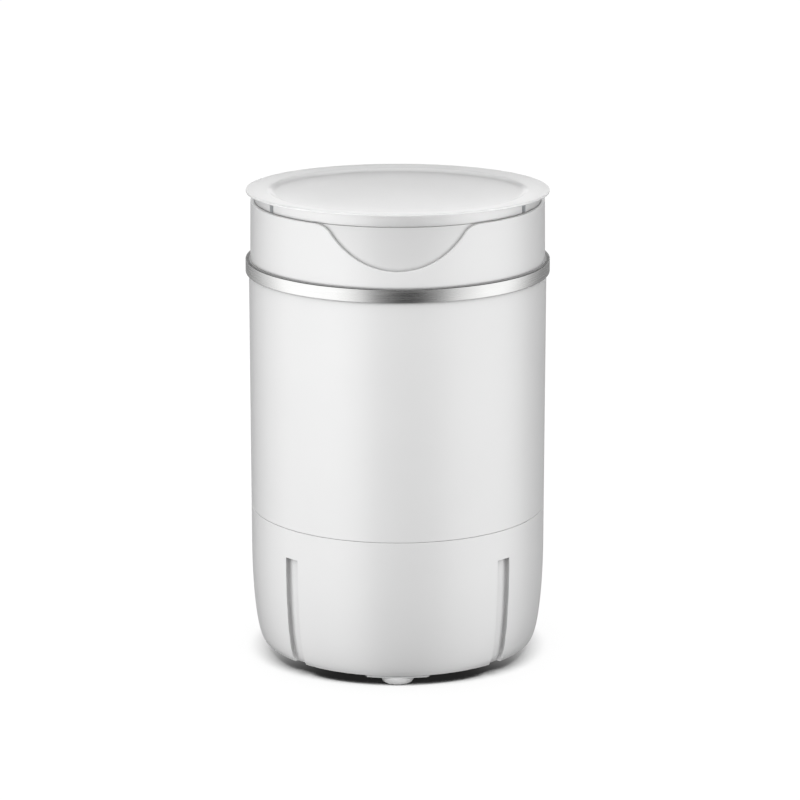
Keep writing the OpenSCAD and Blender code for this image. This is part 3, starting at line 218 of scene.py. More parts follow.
def turned(outline, arcs=((360, 120),)):
    """Spins an outline of (radius, height, rounding) corners about the axis, in arcs of (degrees, steps)."""
    mesh = bmesh.new()
    corners = [mesh.verts.new((r * MM, 0, z * MM)) for r, z, _ in outline]
    mesh.faces.new(corners)
    for rounding in sorted({corner[2] for corner in outline} - {0}):
        picked = [v for v, corner in zip(corners, outline) if corner[2] == rounding]
        rounded(mesh, picked, rounding, 5, "VERTICES")
    bmesh.ops.delete(mesh, geom=mesh.faces[:], context="FACES_ONLY")
    on_axis = [e for e in mesh.edges if all(abs(v.co.x) < 1e-7 for v in e.verts)]
    bmesh.ops.delete(mesh, geom=on_axis, context="EDGES")
    last = mesh.verts[:] + mesh.edges[:]
    for degrees, steps in arcs:
        last = bmesh.ops.spin(
            mesh, geom=last, cent=(0, 0, 0), axis=(0, 0, 1), angle=math.radians(degrees), steps=steps,
            use_merge=degrees == 360,
        )["geom_last"]
    bmesh.ops.remove_doubles(mesh, verts=mesh.verts[:], dist=merge_gap)
    bmesh.ops.recalc_face_normals(mesh, faces=mesh.faces[:])
    return mesh


def piece(name, mesh, finish, body, nodes=(), crease=35):
    """Makes an object of a bmesh, smooth but for its creases, and sets it on its body."""
    for face in mesh.faces:
        face.smooth = True
    for edge in mesh.edges:
        edge.smooth = not (len(edge.link_faces) == 2 and edge.calc_face_angle() > math.radians(crease))
    data = bpy.data.meshes.new(name)
    mesh.to_mesh(data)
    mesh.free()
    data.materials.append(finish)
    made = bpy.data.objects.new(name, data)
    bpy.context.scene.collection.objects.link(made)
    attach(made, body)
    if nodes:
        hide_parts(*nodes)
    return made


# White thermoplastic rubber: soft, matte and a little chalky.
white_rubber = surface(
    "white_thermoplastic_rubber", "#fafafa", "#f5f5f5", patch=10, grain=0.7, rough=(0.5, 0.62), depth=0.015,
    settings={"IOR": 1.5},
)
for side, x, y in (("front", 0, -1), ("right", 1, 0), ("rear", 0, 1), ("left", -1, 0)):
    foot = turned(foot_outline, ((360, 64),))
    bmesh.ops.translate(foot, verts=foot.verts[:], vec=Vector((x, y, 0)) * foot_ring_r * MM)
    piece("rubber_foot_" + side, foot, white_rubber, "housing", ["foot_" + side])


# Base casing: the drawn-in lower shell, moulded in white ABS, with four grooves that notch its bottom edge
# and a pocket at the back. Its tongue goes up into the barrel, and screws hold it to the bottom cover.
barrel_r, barrel_inner_r = 120.6, 118.0
seam_z, seam_half, seam_round = 124.0, 0.14, 0.25
# A row of corners just beside the rounded edge keeps the wall's shading flat.
seam_support = 0.8
edge_r, edge_inner_r, edge_z, edge_soft = 111.6, 109.0, 9.4, 0.5
draw_top, draw_height, draw_inwards, draw_arc, draw_steps = 91.0, 81.0, 9.0, math.radians(84), 24
tongue_r, tongue_inner_r, tongue_top, tongue_low, tongue_foot = 117.7, 115.7, 130.6, 116.6, 109.6
groove_half, groove_depth, groove_top, groove_soft = 6.5, 3.4, 99.5, 0.5
bay_side, bay_low, bay_high, bay_round, bay_wall, bay_back_y = 46.0, 30.0, 106.0, 0.9, 2.6, 97.0
# The pocket is cut only in faces this far back and this near the middle, and a side's edges lie within its reach.
rear_y, rear_half, bay_reach = 70.0, 60.0, 0.5
# Lengths within this, in metres, are equal.
hair = 1e-6

draw_in = []
for i in range(draw_steps):
    a = draw_arc * i / draw_steps
    draw_in.append((
        draw_inwards * (1 - math.cos(a)) / (1 - math.cos(draw_arc)), draw_height * math.sin(a) / math.sin(draw_arc)
    ))
# Close rows of corners at the grooves' tops give their upper ends a clean step.
groove_rows = [(barrel_r, groove_top + 1.2 - 0.15 * i, 0) for i in range(17)]
base_outline = (
    [(barrel_r, seam_z - seam_half, seam_round), (barrel_r, seam_z - seam_support, 0)]
    + groove_rows
    + [(barrel_r - inwards, draw_top - down, 0) for inwards, down in draw_in]
    + [(edge_r, edge_z, edge_soft), (edge_inner_r, edge_z, edge_soft)]
    + [(barrel_inner_r - inwards, draw_top - down, 0) for inwards, down in reversed(draw_in)]
    + [(barrel_inner_r, tongue_foot, 0), (tongue_inner_r, tongue_low, 0), (tongue_inner_r, tongue_top, 0)]
    + [(tongue_r, tongue_top, 0), (tongue_r, seam_z - seam_half, 0)]
)
# Each quarter has a groove at its middle, with close steps at the groove's two walls.
quarter = ((40.6, 20), (0.7, 2), (1.0, 16), (5.4, 12), (1.0, 16), (0.7, 2), (40.6, 20))
base = turned(base_outline, quarter * 4)


def ease(x):
    """Runs smoothly from 0 to 1 as x does."""
    x = min(max(x, 0.0), 1.0)
    return x * x * (3 - 2 * x)


for v in base.verts:
    if v.co.z < (groove_top + 2) * MM:
        length = v.co.xy.length
        turn = math.degrees(math.atan2(v.co.y, v.co.x)) % 90 - 45
        aside = abs(math.radians(turn)) * length / MM
        sunk = groove_depth * ease((groove_half + groove_soft / 2 - aside) / groove_soft)
        sunk *= ease((groove_top + groove_soft / 2 - v.co.z / MM) / groove_soft)
        v.co.xy *= (length - sunk * MM) / length


def cut_window(mesh, side, low, high, skin):
    """Opens a window through one skin at the back, and returns the edges around every opening."""
    def behind(f, half):
        middle = f.calc_center_median()
        return middle.y > rear_y * MM and abs(middle.x) < half * MM and skin(f)

    for point, normal in (
        ((-side, 0, 0), (1, 0, 0)), ((side, 0, 0), (1, 0, 0)), ((0, 0, low), (0, 0, 1)), ((0, 0, high), (0, 0, 1))
    ):
        near = [f for f in mesh.faces if behind(f, rear_half)]
        edges = list(dict.fromkeys(e for f in near for e in f.edges))
        verts = list(dict.fromkeys(v for e in edges for v in e.verts))
        bmesh.ops.bisect_plane(
            mesh, geom=verts + edges + near, dist=1e-7, plane_co=Vector(point) * MM, plane_no=normal
        )
    opened = [
        f for f in mesh.faces if behind(f, side) and low * MM < f.calc_center_median().z < high * MM
    ]
    bmesh.ops.delete(mesh, geom=opened, context="FACES")
    return [e for e in mesh.edges if e.is_boundary]


def outer_skin(f):
    """Whether a face is on the casing's outside."""
    middle = f.calc_center_median()
    return middle.xy.dot(f.normal.xy) > 0 and middle.z < seam_z * MM


def inner_skin(f):
    """Whether a face is on the casing's inside."""
    return f.calc_center_median().xy.dot(f.normal.xy) < 0


def step_in(mesh, edges, inwards, y=None, back=0.0):
    """Extrudes the window's edge: inwards across the opening, and back into the casing."""
    made = bmesh.ops.extrude_edge_only(mesh, edges=edges)["geom"]
    half = max(abs(v.co.x) for e in edges for v in e.verts)
    top = max(v.co.z for e in edges for v in e.verts)
    foot = min(v.co.z for e in edges for v in e.verts)
    for v in [g for g in made if isinstance(g, bmesh.types.BMVert)]:
        if half - abs(v.co.x) < hair:
            v.co.x -= math.copysign(1, v.co.x) * inwards * MM
        if top - v.co.z < hair:
            v.co.z -= inwards * MM
        elif v.co.z - foot < hair:
            v.co.z += inwards * MM
        v.co.y = v.co.y - back * MM if y is None else y * MM
    return [g for g in made if isinstance(g, bmesh.types.BMEdge) and g.is_boundary]


base.normal_update()
rim = cut_window(base, bay_side + bay_round, bay_low - bay_round, bay_high + bay_round, outer_skin)
for degrees in (30, 60, 90):
    a, b = math.radians(degrees - 30), math.radians(degrees)
    rim = step_in(
        base, rim, bay_round * (math.sin(b) - math.sin(a)), back=bay_round * (math.cos(a) - math.cos(b))
    )
rim = step_in(base, rim, 0.0, y=bay_back_y)
rim = step_in(base, rim, -bay_wall, y=bay_back_y)
base.normal_update()
cut_window(base, bay_side + bay_wall, bay_low - bay_wall, bay_high + bay_wall, inner_skin)
# The pocket's wall is joined to the inner skin one side at a time, so that it comes out the same on each run.
for axis, place in (
    ("x", -bay_side - bay_wall), ("x", bay_side + bay_wall), ("z", bay_low - bay_wall), ("z", bay_high + bay_wall)
):
    along_side = [
        e for e in base.edges
        if e.is_boundary and all(abs(getattr(v.co, axis) / MM - place) < bay_reach for v in e.verts)
    ]
    bmesh.ops.bridge_loops(base, edges=along_side)
bmesh.ops.recalc_face_normals(base, faces=base.faces[:])


# Moulded ABS, satin: clean white with a broad soft shine and the faintest unevenness from the mould.
def satin_abs(name, corners, own=False):
    """White ABS with painted shade, darkening its colour in corners by as much as their depth asks."""
    return surface(
        name, "#e7e7e7", "#e3e3e3", patch=60, grain=2.5, rough=(0.28, 0.34), depth=0.004,
        settings={"IOR": 1.54, "Coat Weight": 1.0, "Coat Roughness": 0.28}, corners=corners, own=own,
    )


# Painted shade: the casing's colour darkens in its corners over a long reach, so the grooves' far walls are grey up
# to their edges, where little light reaches.
groove_shaded_abs = satin_abs("satin_white_abs_groove_shade", (18, 0.42), own=True)
piece("base_casing", base, groove_shaded_abs, "housing", ["base_shell"])


# Rear panel: a flat grained ABS plate at the back of the pocket, held by four small screws.
# It carries the timer, the drain spigot with its bung and the cord's grommet, and a printed dial.
dial_z, panel_y = 81.0, 106.0
mark_count, mark_spacing, mark_r, mark_w, mark_t, even_mark, odd_mark = 11, 30, 20.7, 0.5, 0.06, 1.0, 1.5
number_r, number_size, number_bold, number_t = 23.2, 3.4, 0.05, 0.03
print_lift = 0.03


def smoothed(name, finish, body):
    """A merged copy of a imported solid, so that its round faces shade smoothly, in its place."""
    mesh = bmesh.new()
    mesh.from_mesh(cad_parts[name].data)
    bmesh.ops.remove_doubles(mesh, verts=mesh.verts[:], dist=merge_gap)
    return piece(name + "_smooth", mesh, finish, body, [name])


# Grained grey ABS: pale and dull, with a fine even grain.
grey_grain = surface(
    "grained_grey_abs", "#d3d5d6", "#cbcdce", patch=25, grain=0.9, rough=(0.46, 0.56), depth=0.02,
    settings={"IOR": 1.53},
)
coat(grey_grain, "rear_panel")
smoothed("panel_screws", zinc_plate, "housing")
smoothed("cord_gland", black_rubber, "housing")
# Moulded polypropylene: pale grey and waxy, with a soft wide shine.
grey_polypropylene = surface(
    "grey_polypropylene", "#c6c9cb", "#bfc2c4", patch=20, grain=1.2, rough=(0.36, 0.46), depth=0.01,
    settings={"IOR": 1.49, "Subsurface Weight": 0.05},
)
smoothed("drain_elbow", grey_polypropylene, "housing")
smoothed("drain_plug", black_rubber, "plug")


def block(size, middle):
    """A box of a size about its middle, in mm."""
    mesh = bmesh.new()
    bmesh.ops.create_cube(mesh, size=1)
    bmesh.ops.scale(mesh, vec=Vector(size) * MM, verts=mesh.verts[:])
    bmesh.ops.translate(mesh, vec=Vector(middle) * MM, verts=mesh.verts[:])
    return mesh


def join(mesh, other):
    """Adds another bmesh to one, and frees it."""
    data = bpy.data.meshes.new("joined")
    other.to_mesh(data)
    other.free()
    mesh.from_mesh(data)
    bpy.data.meshes.remove(data)


dial = bmesh.new()
for i in range(mark_count):
    turn = math.radians(mark_spacing * i)
    mark = block((mark_w, mark_t, odd_mark if i % 2 else even_mark), (0, 0, mark_r))
    bmesh.ops.rotate(mark, cent=(0, 0, 0), matrix=Matrix.Rotation(-turn, 3, "Y"), verts=mark.verts[:])
    join(dial, mark)
    if i % 2 == 0:
        curve = bpy.data.curves.new("dial_number", "FONT")
        curve.body = str(i)
        curve.size = number_size
        curve.offset = number_bold
        curve.align_x = "CENTER"
        curve.align_y = "CENTER"
        curve.extrude = number_t
        holder = bpy.data.objects.new("dial_number", curve)
        bpy.context.scene.collection.objects.link(holder)
        data = bpy.data.meshes.new_from_object(holder.evaluated_get(bpy.context.evaluated_depsgraph_get()))
        spot = Vector((-math.sin(turn), 0, math.cos(turn))) * number_r * MM
        standing = Matrix.Rotation(math.pi, 4, "Z") @ Matrix.Rotation(math.pi / 2, 4, "X")
        data.transform(Matrix.Translation(spot) @ standing @ Matrix.Scale(MM, 4))
        dial.from_mesh(data)
        bpy.data.objects.remove(holder)
        bpy.data.curves.remove(curve)
        bpy.data.meshes.remove(data)
bmesh.ops.translate(dial, vec=Vector((0, panel_y + print_lift, dial_z)) * MM, verts=dial.verts[:])
# Printed ink: a flat mid grey, slightly duller than the panel.
dial_ink = surface(
    "grey_pad_print_ink", "#6c7074", "#74787c", patch=3, grain=0.4, rough=(0.5, 0.6), depth=0.002,
    settings={"IOR": 1.5},
)
piece("dial_print", dial, dial_ink, "housing")


# Timer knob: moulded in white ABS, a stepped disc with a raised bar to turn it by, pushed on the timer's shaft.
# A grey line along the bar's upper half points at the dial.
knob_outline = [
    (3.05, 0, 0), (19.0, 0, 0.4), (19.0, 3.0, 0.6), (18.0, 3.4, 0.3), (16.5, 6.0, 1.2), (0, 6.0, 0),
    (0, 4, 0), (3.05, 4, 0),
]
knob_gap = 2.6
bar_size, bar_middle, bar_top, bar_end_round, bar_top_round = (8.0, 31.0, 8.0), (0, 0, 8.0), 12.0, 3.6, 1.0
line_size, line_middle = (1.1, 9.0, 0.08), (0, -9.0, 12.02)

knob = turned(knob_outline, ((360, 96),))
bar = block(bar_size, bar_middle)
upright = [e for e in bar.edges if abs(e.verts[0].co.z - e.verts[1].co.z) > bar_size[2] / 2 * MM]
rounded(bar, upright, bar_end_round, 8)
around_top = [e for e in bar.edges if min(v.co.z for v in e.verts) > (bar_top - 0.1) * MM]
rounded(bar, around_top, bar_top_round, 4)
join(knob, bar)
to_panel = Matrix.Translation(Vector((0, panel_y + knob_gap, dial_z)) * MM) @ Matrix.Rotation(-math.pi / 2, 4, "X")
bmesh.ops.transform(knob, matrix=to_panel, verts=knob.verts[:])
# The knob and the barrel are plain: painted shade darkens their colour only close in to corners.
white_abs = satin_abs("satin_white_abs", (7, 0.24))
piece("timer_knob_turned", knob, white_abs, "knob", ["timer_knob"])
pointer = block(line_size, line_middle)
bmesh.ops.transform(pointer, matrix=to_panel, verts=pointer.verts[:])
piece("knob_pointer_line", pointer, dial_ink, "knob")


# Wash tub: a deep polypropylene bucket with eight ribs, a drain and a flange that hangs in the barrel.
# Its neck shows behind the finger scoop, and its inside when the lid is off.
# Moulded polypropylene: plain white, waxy, a little light goes into it, with painted shade darkening its colour in
# corners.
tub_white = surface(
    "white_polypropylene", "#dcdcdc", "#d8d8d8", patch=50, grain=2.0, rough=(0.28, 0.34), depth=0.006,
    settings={
        "IOR": 1.5, "Coat Weight": 1.0, "Coat Roughness": 0.26, "Subsurface Weight": 0.08,
        "Subsurface Radius": (1, 1, 1), "Subsurface Scale": 0.004,
    },
    corners=(6, 0.6),
)
smoothed("wash_tub", tub_white, "housing")


# Tub fittings: a pierced strainer, moulded in grey polypropylene and pressed into the tub's floor over the drain,
# and the zinc-plated screws that clamp the tub's floor to the bearing housing.
smoothed("drain_strainer", grey_polypropylene, "housing")
smoothed("tub_screws", zinc_plate, "housing")


# Pulsator: a domed polypropylene disc with six rounded vanes, screwed to the drive shaft.
# A snapped-in grey cap hides the screw.
disc_r, disc_hole_r, disc_edge_z, disc_rise, disc_wall, disc_rim_z = 72.0, 14.2, 136.5, 11.5, 2.5, 134.0
disc_hub_z, disc_soft, disc_rows = 141.0, 0.8, 12
vane_count, vane_from, vane_reach, vane_high, vane_w, vane_root, vane_soft = 6, 19.0, 48.0, 7.0, 5.0, 1.0, 2.0
# A vane's back follows a sine that is cut off by this share at both ends.
vane_steps, vane_cut = 14, 0.08
cap_outline = [(0, 145.3, 0), (13.9, 145.3, 0), (13.9, 148.6, 0.9), (0, 149.2, 0)]


def dome_height(r):
    """Height of the disc's upper side at a radius."""
    return disc_edge_z + disc_rise * (1 + math.cos(math.pi * r / disc_r)) / 2


dome = [disc_hole_r + (disc_r - disc_hole_r) * i / disc_rows for i in range(disc_rows)]
pulsator = turned(
    [(disc_hole_r, disc_hub_z, 0)] + [(r, dome_height(r), 0) for r in dome]
    + [(disc_r, disc_edge_z, disc_soft), (disc_r, disc_rim_z, disc_soft)]
    + [(r, dome_height(r) - disc_wall, 0) for r in reversed(dome)],
    ((360, 144),),
)
for i in range(vane_count):
    vane = bmesh.new()
    upper, lower = [], []
    for k in range(vane_steps + 1):
        r = vane_from + vane_reach * k / vane_steps
        low = dome_height(r)
        high = low + vane_high * math.sin(math.pi * (vane_cut + (1 - 2 * vane_cut) * k / vane_steps))
        upper.append(vane.verts.new(Vector((r, -vane_w / 2, high)) * MM))
        lower.append(vane.verts.new(Vector((r, -vane_w / 2, low - vane_root)) * MM))
    side = vane.faces.new(upper + lower[::-1])
    moved = bmesh.ops.extrude_face_region(vane, geom=[side])["geom"]
    bmesh.ops.translate(
        vane, vec=(0, vane_w * MM, 0), verts=[g for g in moved if isinstance(g, bmesh.types.BMVert)]
    )
    bmesh.ops.recalc_face_normals(vane, faces=vane.faces[:])
    along = [
        e for e in vane.edges
        if abs(e.verts[0].co.y - e.verts[1].co.y) < hair and len(e.link_faces) == 2
        and sum(f.normal.z for f in e.link_faces) > 0.2
    ]
    rounded(vane, along, vane_soft, 4)
    about = Matrix.Rotation(math.radians(360 / vane_count * i), 3, "Z")
    bmesh.ops.rotate(vane, cent=(0, 0, 0), matrix=about, verts=vane.verts[:])
    join(pulsator, vane)
# Moulded polypropylene, pale blue grey: waxy with a soft wide shine.
pulsator_blue = surface(
    "pale_blue_polypropylene", "#ccd8de", "#c5d2d9", patch=30, grain=1.5, rough=(0.3, 0.4), depth=0.008,
    settings={"IOR": 1.49, "Subsurface Weight": 0.06},
)
piece("pulsator_vaned", pulsator, pulsator_blue, "pulsator_unit", ["pulsator"])
cap = turned(cap_outline, ((360, 72),))
piece("pulsator_cap_domed", cap, grey_polypropylene, "pulsator_unit", ["pulsator_cap"])
coat(zinc_plate, "pulsator_screw")


# Barrel: a plain white ABS tube that slips over the base casing's tongue and carries the tub on a ledge.
# Its lower edge stops just short of the base, which leaves the fine dark seam.
barrel_top = 330.0
ledge_r, ledge_top, ledge_low, ledge_foot = 115.9, 311.6, 308.6, 306.6
barrel = turned(
    [
        (barrel_inner_r, seam_z + seam_half, 0), (barrel_r, seam_z + seam_half, seam_round),
        (barrel_r, seam_z + seam_support, 0), (barrel_r, 200, 0), (barrel_r, 280, 0), (barrel_r, barrel_top, 0),
        (barrel_inner_r, barrel_top, 0), (barrel_inner_r, ledge_top, 0), (ledge_r, ledge_top, 0),
        (ledge_r, ledge_low, 0), (barrel_inner_r, ledge_foot, 0),
    ],
    ((360, 180),),
)
piece("barrel_tube", barrel, white_abs, "housing", ["barrel_shell"])


# Trim band: a hoop of stainless steel strip, brushed around its length and pressed over the barrel's top.
# Its edges are turned in, so a bright line runs along the top.
band_r, band_inner_r, band_low, band_top, band_soft = 123.3, 120.63, 319.0, 330.1, 0.7
band = turned(
    [
        (band_inner_r, band_low, 0), (band_r, band_low, band_soft), (band_r, band_top, band_soft),
        (band_inner_r, band_top, 0),
    ],
    ((360, 240),),
)
# Brushed stainless steel: mirror-like around the hoop, with fine lines that follow it and blur it upright.
# Real brush lines are about 0.05 mm apart; they are drawn at 0.35 mm so that they show.
brushed_steel = surface(
    "brushed_stainless_steel", "#b0b0af", "#a8a8a8", patch=30, grain=0.35, rough=(0.2, 0.3), depth=0.012,
    settings={"Metallic": 1.0, "Anisotropic": 0.5}, stretch=(0.012, 0.012, 1),
)
piece("steel_trim_band", band, brushed_steel, "housing", ["trim_band"])


# Collar: a white ABS ring that closes the barrel's top, with a round scoop at the front for the fingers.
# Its skirt goes down inside the barrel and clamps the tub's flange.
collar_r, collar_foot_r, collar_inner_r, skirt_r, skirt_low = 118.8, 119.4, 115.9, 117.7, 314.0
rim_z, rim_soft, foot_soft = 377.5, 0.25, 0.2
scoop_r, scoop_z, corner_r = 64.0, 406.9, 15.0
# The scoop's edge is drawn down from rows above this height, and all of it above the last share of the rim.
drawn_z, drawn_whole = 331.0, 0.8
row_count, row_span = 12, 47.0
corner_z = rim_z - corner_r
corner_x = math.sqrt((scoop_r + corner_r) ** 2 - (scoop_z - corner_z) ** 2)
scoop_x = scoop_r * math.cos(math.atan2(scoop_z - corner_z, corner_x))


def rim_height(x):
    """Height of the collar's rim at a distance from the middle of the front."""
    x = abs(x)
    if x >= corner_x:
        return rim_z
    if x >= scoop_x:
        return corner_z + math.sqrt(max(corner_r ** 2 - (corner_x - x) ** 2, 0.0))
    return scoop_z - math.sqrt(scoop_r ** 2 - x * x)


collar_rows = [
    (collar_foot_r - (collar_foot_r - collar_r) * i / row_count, barrel_top + row_span * i / row_count, 0)
    for i in range(1, row_count)
]
collar = turned(
    [(collar_inner_r, skirt_low, 0), (skirt_r, skirt_low, 0), (skirt_r, barrel_top, 0)]
    + [(collar_foot_r, barrel_top, foot_soft), (collar_foot_r - 0.01, barrel_top + 0.6, 0)]
    + collar_rows
    + [(collar_r, rim_z, rim_soft), (collar_inner_r, rim_z, rim_soft)]
    + [(collar_inner_r, z, 0) for _, z, _ in reversed(collar_rows)],
    ((235, 118), (70, 210), (55, 28)),
)
for v in collar.verts:
    if v.co.y < 0 and v.co.z > drawn_z * MM and abs(v.co.x) < corner_x * MM:
        outer_x = v.co.x / v.co.xy.length * collar_r
        share = min((v.co.z / MM - drawn_z) / (rim_z - drawn_whole - drawn_z), 1.0)
        v.co.z -= share * (rim_z - rim_height(outer_x)) * MM
bmesh.ops.recalc_face_normals(collar, faces=collar.faces[:])
# The collar's corners are shallow and open to the light, so its painted shade is faint and close in.
collar_abs = satin_abs("satin_white_abs_collar", (3, 0.7))
piece("scooped_collar", collar, collar_abs, "housing", ["top_collar"])


# Lid: one moulding of frosted polypropylene, with a wide thin flange, a sunk panel and a plug for the tub's neck.
# It lifts straight off, and sits leaning back a little; three small notches in its wall let the air in.
lid_wall_r, lid_seat_z, plug_r = 115.3, 377.6, 112.6
# The outer wall and the flange lie beyond the first radius, and the plug's outer side beyond the second.
outer_wall_from, wall_from = 114.0, 112.0
notch_half, notch_depth, notch_soft, notch_top, notch_spacing = 3.0, 3.4, 0.6, 381.6, 120
lid_lean, lid_lift = math.tan(math.radians(1.3)), 0.4
# The lean grows from the seat upwards: over the outer wall's height, and at once inside it.
outer_ramp, inner_ramp = 4.4, 1.0
panel_top = [
    (0, 381.6, 0), (25, 381.7, 0), (50, 382.0, 0), (75, 382.5, 0), (100.5, 383.2, 2.0), (104.5, 385.2, 1.2)
]
flange = [(106.5, 385.3, 0), (121.4, 385.95, 0), (122.5, 386.0, 0.7), (122.5, 384.2, 0.7)]
outer_wall = [
    (lid_wall_r, 383.8, 0.4), (lid_wall_r, 381.9, 0), (lid_wall_r, 381.4, 0), (lid_wall_r, 378.8, 0),
    (lid_wall_r, lid_seat_z, 0.3), (plug_r, lid_seat_z, 0.2),
]
plug = [(plug_r, 365.4, 0.8), (110.6, 365.4, 0.8)]
underside = [(110.6, 381.2, 1.0), (75, 380.5, 0), (0, 379.6, 0)]
notch_arcs = ((0.3, 1), (0.5, 8), (2.4, 8), (0.5, 8), (0.3, 1))
lid_arcs = ((88, 60),) + notch_arcs + (((116, 80),) + notch_arcs) * 2 + ((28, 18),)
lid = turned(panel_top + flange + outer_wall + plug + underside, lid_arcs)


def from_notch(point):
    """Distance round the wall from the nearest notch, in mm."""
    turn = (math.degrees(math.atan2(point.y, point.x)) - 90) % notch_spacing
    return math.radians(min(turn, notch_spacing - turn)) * lid_wall_r


for v in lid.verts:
    if v.co.xy.length > outer_wall_from * MM and v.co.z < notch_top * MM:
        sunk = notch_depth * ease((notch_half + notch_soft / 2 - from_notch(v.co)) / notch_soft)
        v.co.xy *= 1 - sunk * MM / v.co.xy.length
for v in lid.verts:
    ramp = outer_ramp if v.co.xy.length > wall_from * MM else inner_ramp
    share = min(max((v.co.z / MM - lid_seat_z) / ramp, 0.0), 1.0)
    v.co.z += share * (lid_lift * MM - v.co.y * lid_lean)
bmesh.ops.recalc_face_normals(lid, faces=lid.faces[:])
# Frosted polypropylene: milky, lets light through at its thin edges, with a fine dull grain on top.
frosted_lid = surface(
    "frosted_polypropylene", "#e9e9e9", "#e5e5e5", patch=40, grain=0.8, rough=(0.3, 0.38), depth=0.004,
    settings={
        "IOR": 1.58, "Subsurface Weight": 1.0, "Subsurface Radius": (1, 1, 1), "Subsurface Scale": 0.008,
        "Specular IOR Level": 1.0, "Coat Weight": 1.0, "Coat Roughness": 0.2,
    },
)
# Painted shade: the faces deep in the notches take a dull grey plastic that stands in for the shade there.
notch_painted_shade = surface(
    "painted_notch_shade_polypropylene", "#c4c7c9", "#bcbfc1", patch=5, grain=0.5, rough=(0.55, 0.65), depth=0.01,
    settings={"IOR": 1.49},
)
# The painted shade goes on the notches' steep faces between these radii.
notch_floor_from, notch_floor_to, steep = 111.5, 114.9, 0.7
for face in lid.faces:
    middle = face.calc_center_median()
    sunk = notch_floor_from < middle.xy.length / MM < notch_floor_to and abs(face.normal.z) < steep
    in_notch = from_notch(middle) < notch_half + 0.2 and middle.z / MM > lid_seat_z + 0.1
    face.material_index = int(sunk and in_notch)
piece("frosted_lid", lid, frosted_lid, "lid", ["lid_cover"]).data.materials.append(notch_painted_shade)


# Studio floor: a wide matte white sheet that the machine stands on.
# It bounces little light on to the walls, and a thin painted shadow darkens its colour under the base.
floor_half, bounce, shadow_reach, glow_share = 12.0, (0.14, 0.14, 0.14, 1), 0.035, 0.85
# How open the floor is where the painted shadow starts and ends, and its deepest tone: a base and a change by
# bearing.
start_base, start_change = 0.222, 0.36
end_base, end_change = 0.66, -0.345
deep_base, deep_change = 0.018, 0.42
floor_mesh = bmesh.new()
bmesh.ops.create_grid(floor_mesh, x_segments=1, y_segments=1, size=floor_half)
floor_data = bpy.data.meshes.new("floor")
floor_mesh.to_mesh(floor_data)
floor_mesh.free()
floor = bpy.data.objects.new("floor", floor_data)
bpy.context.scene.collection.objects.link(floor)
floor_paint = bpy.data.materials.new("matte_white_floor")
floor_paint.use_nodes = True
tree = floor_paint.node_tree
tree.nodes.clear()
ray = add(tree, "ShaderNodeLightPath")
plain = add(tree, "ShaderNodeBsdfDiffuse", {"Color": bounce})
# Painted shadow: close under the base the floor's colour darkens with its occlusion. In front the painted shadow is
# deep and ends sharply;
# round to both sides, set by bearing, it is painted paler and fades over a wider strip.
nearness = add(tree, "ShaderNodeAmbientOcclusion", {"Distance": shadow_reach, "samples": 24})
spot = add(tree, "ShaderNodeTexCoord").outputs["Object"]
bearing = add(tree, "ShaderNodeVectorMath", {"operation": "NORMALIZE"}, {0: spot})
across = add(tree, "ShaderNodeSeparateXYZ", None, {0: bearing.outputs[0]}).outputs["X"]
sideways = add(tree, "ShaderNodeMath", {"operation": "MULTIPLY"}, {0: across, 1: across}).outputs[0]
frontways = add(tree, "ShaderNodeMath", {"operation": "SUBTRACT", 0: 1.0}, {1: sideways}).outputs[0]
between = add(tree, "ShaderNodeMath", {"operation": "MULTIPLY"}, {0: sideways, 1: frontways}).outputs[0]
near_front = add(tree, "ShaderNodeMath", {"operation": "POWER", 1: 2.0}, {0: frontways}).outputs[0]
far_side = add(tree, "ShaderNodeMath", {"operation": "POWER", 1: 4.0}, {0: sideways}).outputs[0]
starts = add(tree, "ShaderNodeMath", {"operation": "MULTIPLY_ADD", 1: start_change, 2: start_base}, {0: between})
ends = add(tree, "ShaderNodeMath", {"operation": "MULTIPLY_ADD", 1: end_change, 2: end_base}, {0: near_front})
deepest = add(tree, "ShaderNodeMath", {"operation": "MULTIPLY_ADD", 1: deep_change, 2: deep_base}, {0: far_side})
painted_shadow = add(
    tree, "ShaderNodeMapRange", {"To Max": 1.0},
    {
        "Value": nearness.outputs["AO"], "From Min": starts.outputs[0], "From Max": ends.outputs[0],
        "To Min": deepest.outputs[0],
    },
)
lit = add(tree, "ShaderNodeBsdfDiffuse", None, {"Color": painted_shadow.outputs[0]})
glow = add(tree, "ShaderNodeEmission", {"Strength": 1.0}, {"Color": painted_shadow.outputs[0]})
shown = add(tree, "ShaderNodeMixShader", {0: glow_share}, {1: lit.outputs[0], 2: glow.outputs[0]})
mixed = add(
    tree, "ShaderNodeMixShader", None,
    {0: ray.outputs["Is Camera Ray"], 1: plain.outputs[0], 2: shown.outputs[0]},
)
add(tree, "ShaderNodeOutputMaterial", None, {"Surface": mixed.outputs[0]})
floor_data.materials.append(floor_paint)
floor.visible_glossy = False


# Studio light: an even sky that is stronger from behind, and one low soft lamp in front at the lid's height.
# Reflections see tall white panels at both sides, less light in front and behind, and a pale ceiling;
# the camera sees a plain white backdrop.
white = (1, 1, 1, 1)
sky_front, sky_rear = 1.1, 1.55
panel_gain, panel_low_gain = 3.0, 1.25
ceiling_low, ceiling_high = 1.5, 0.12
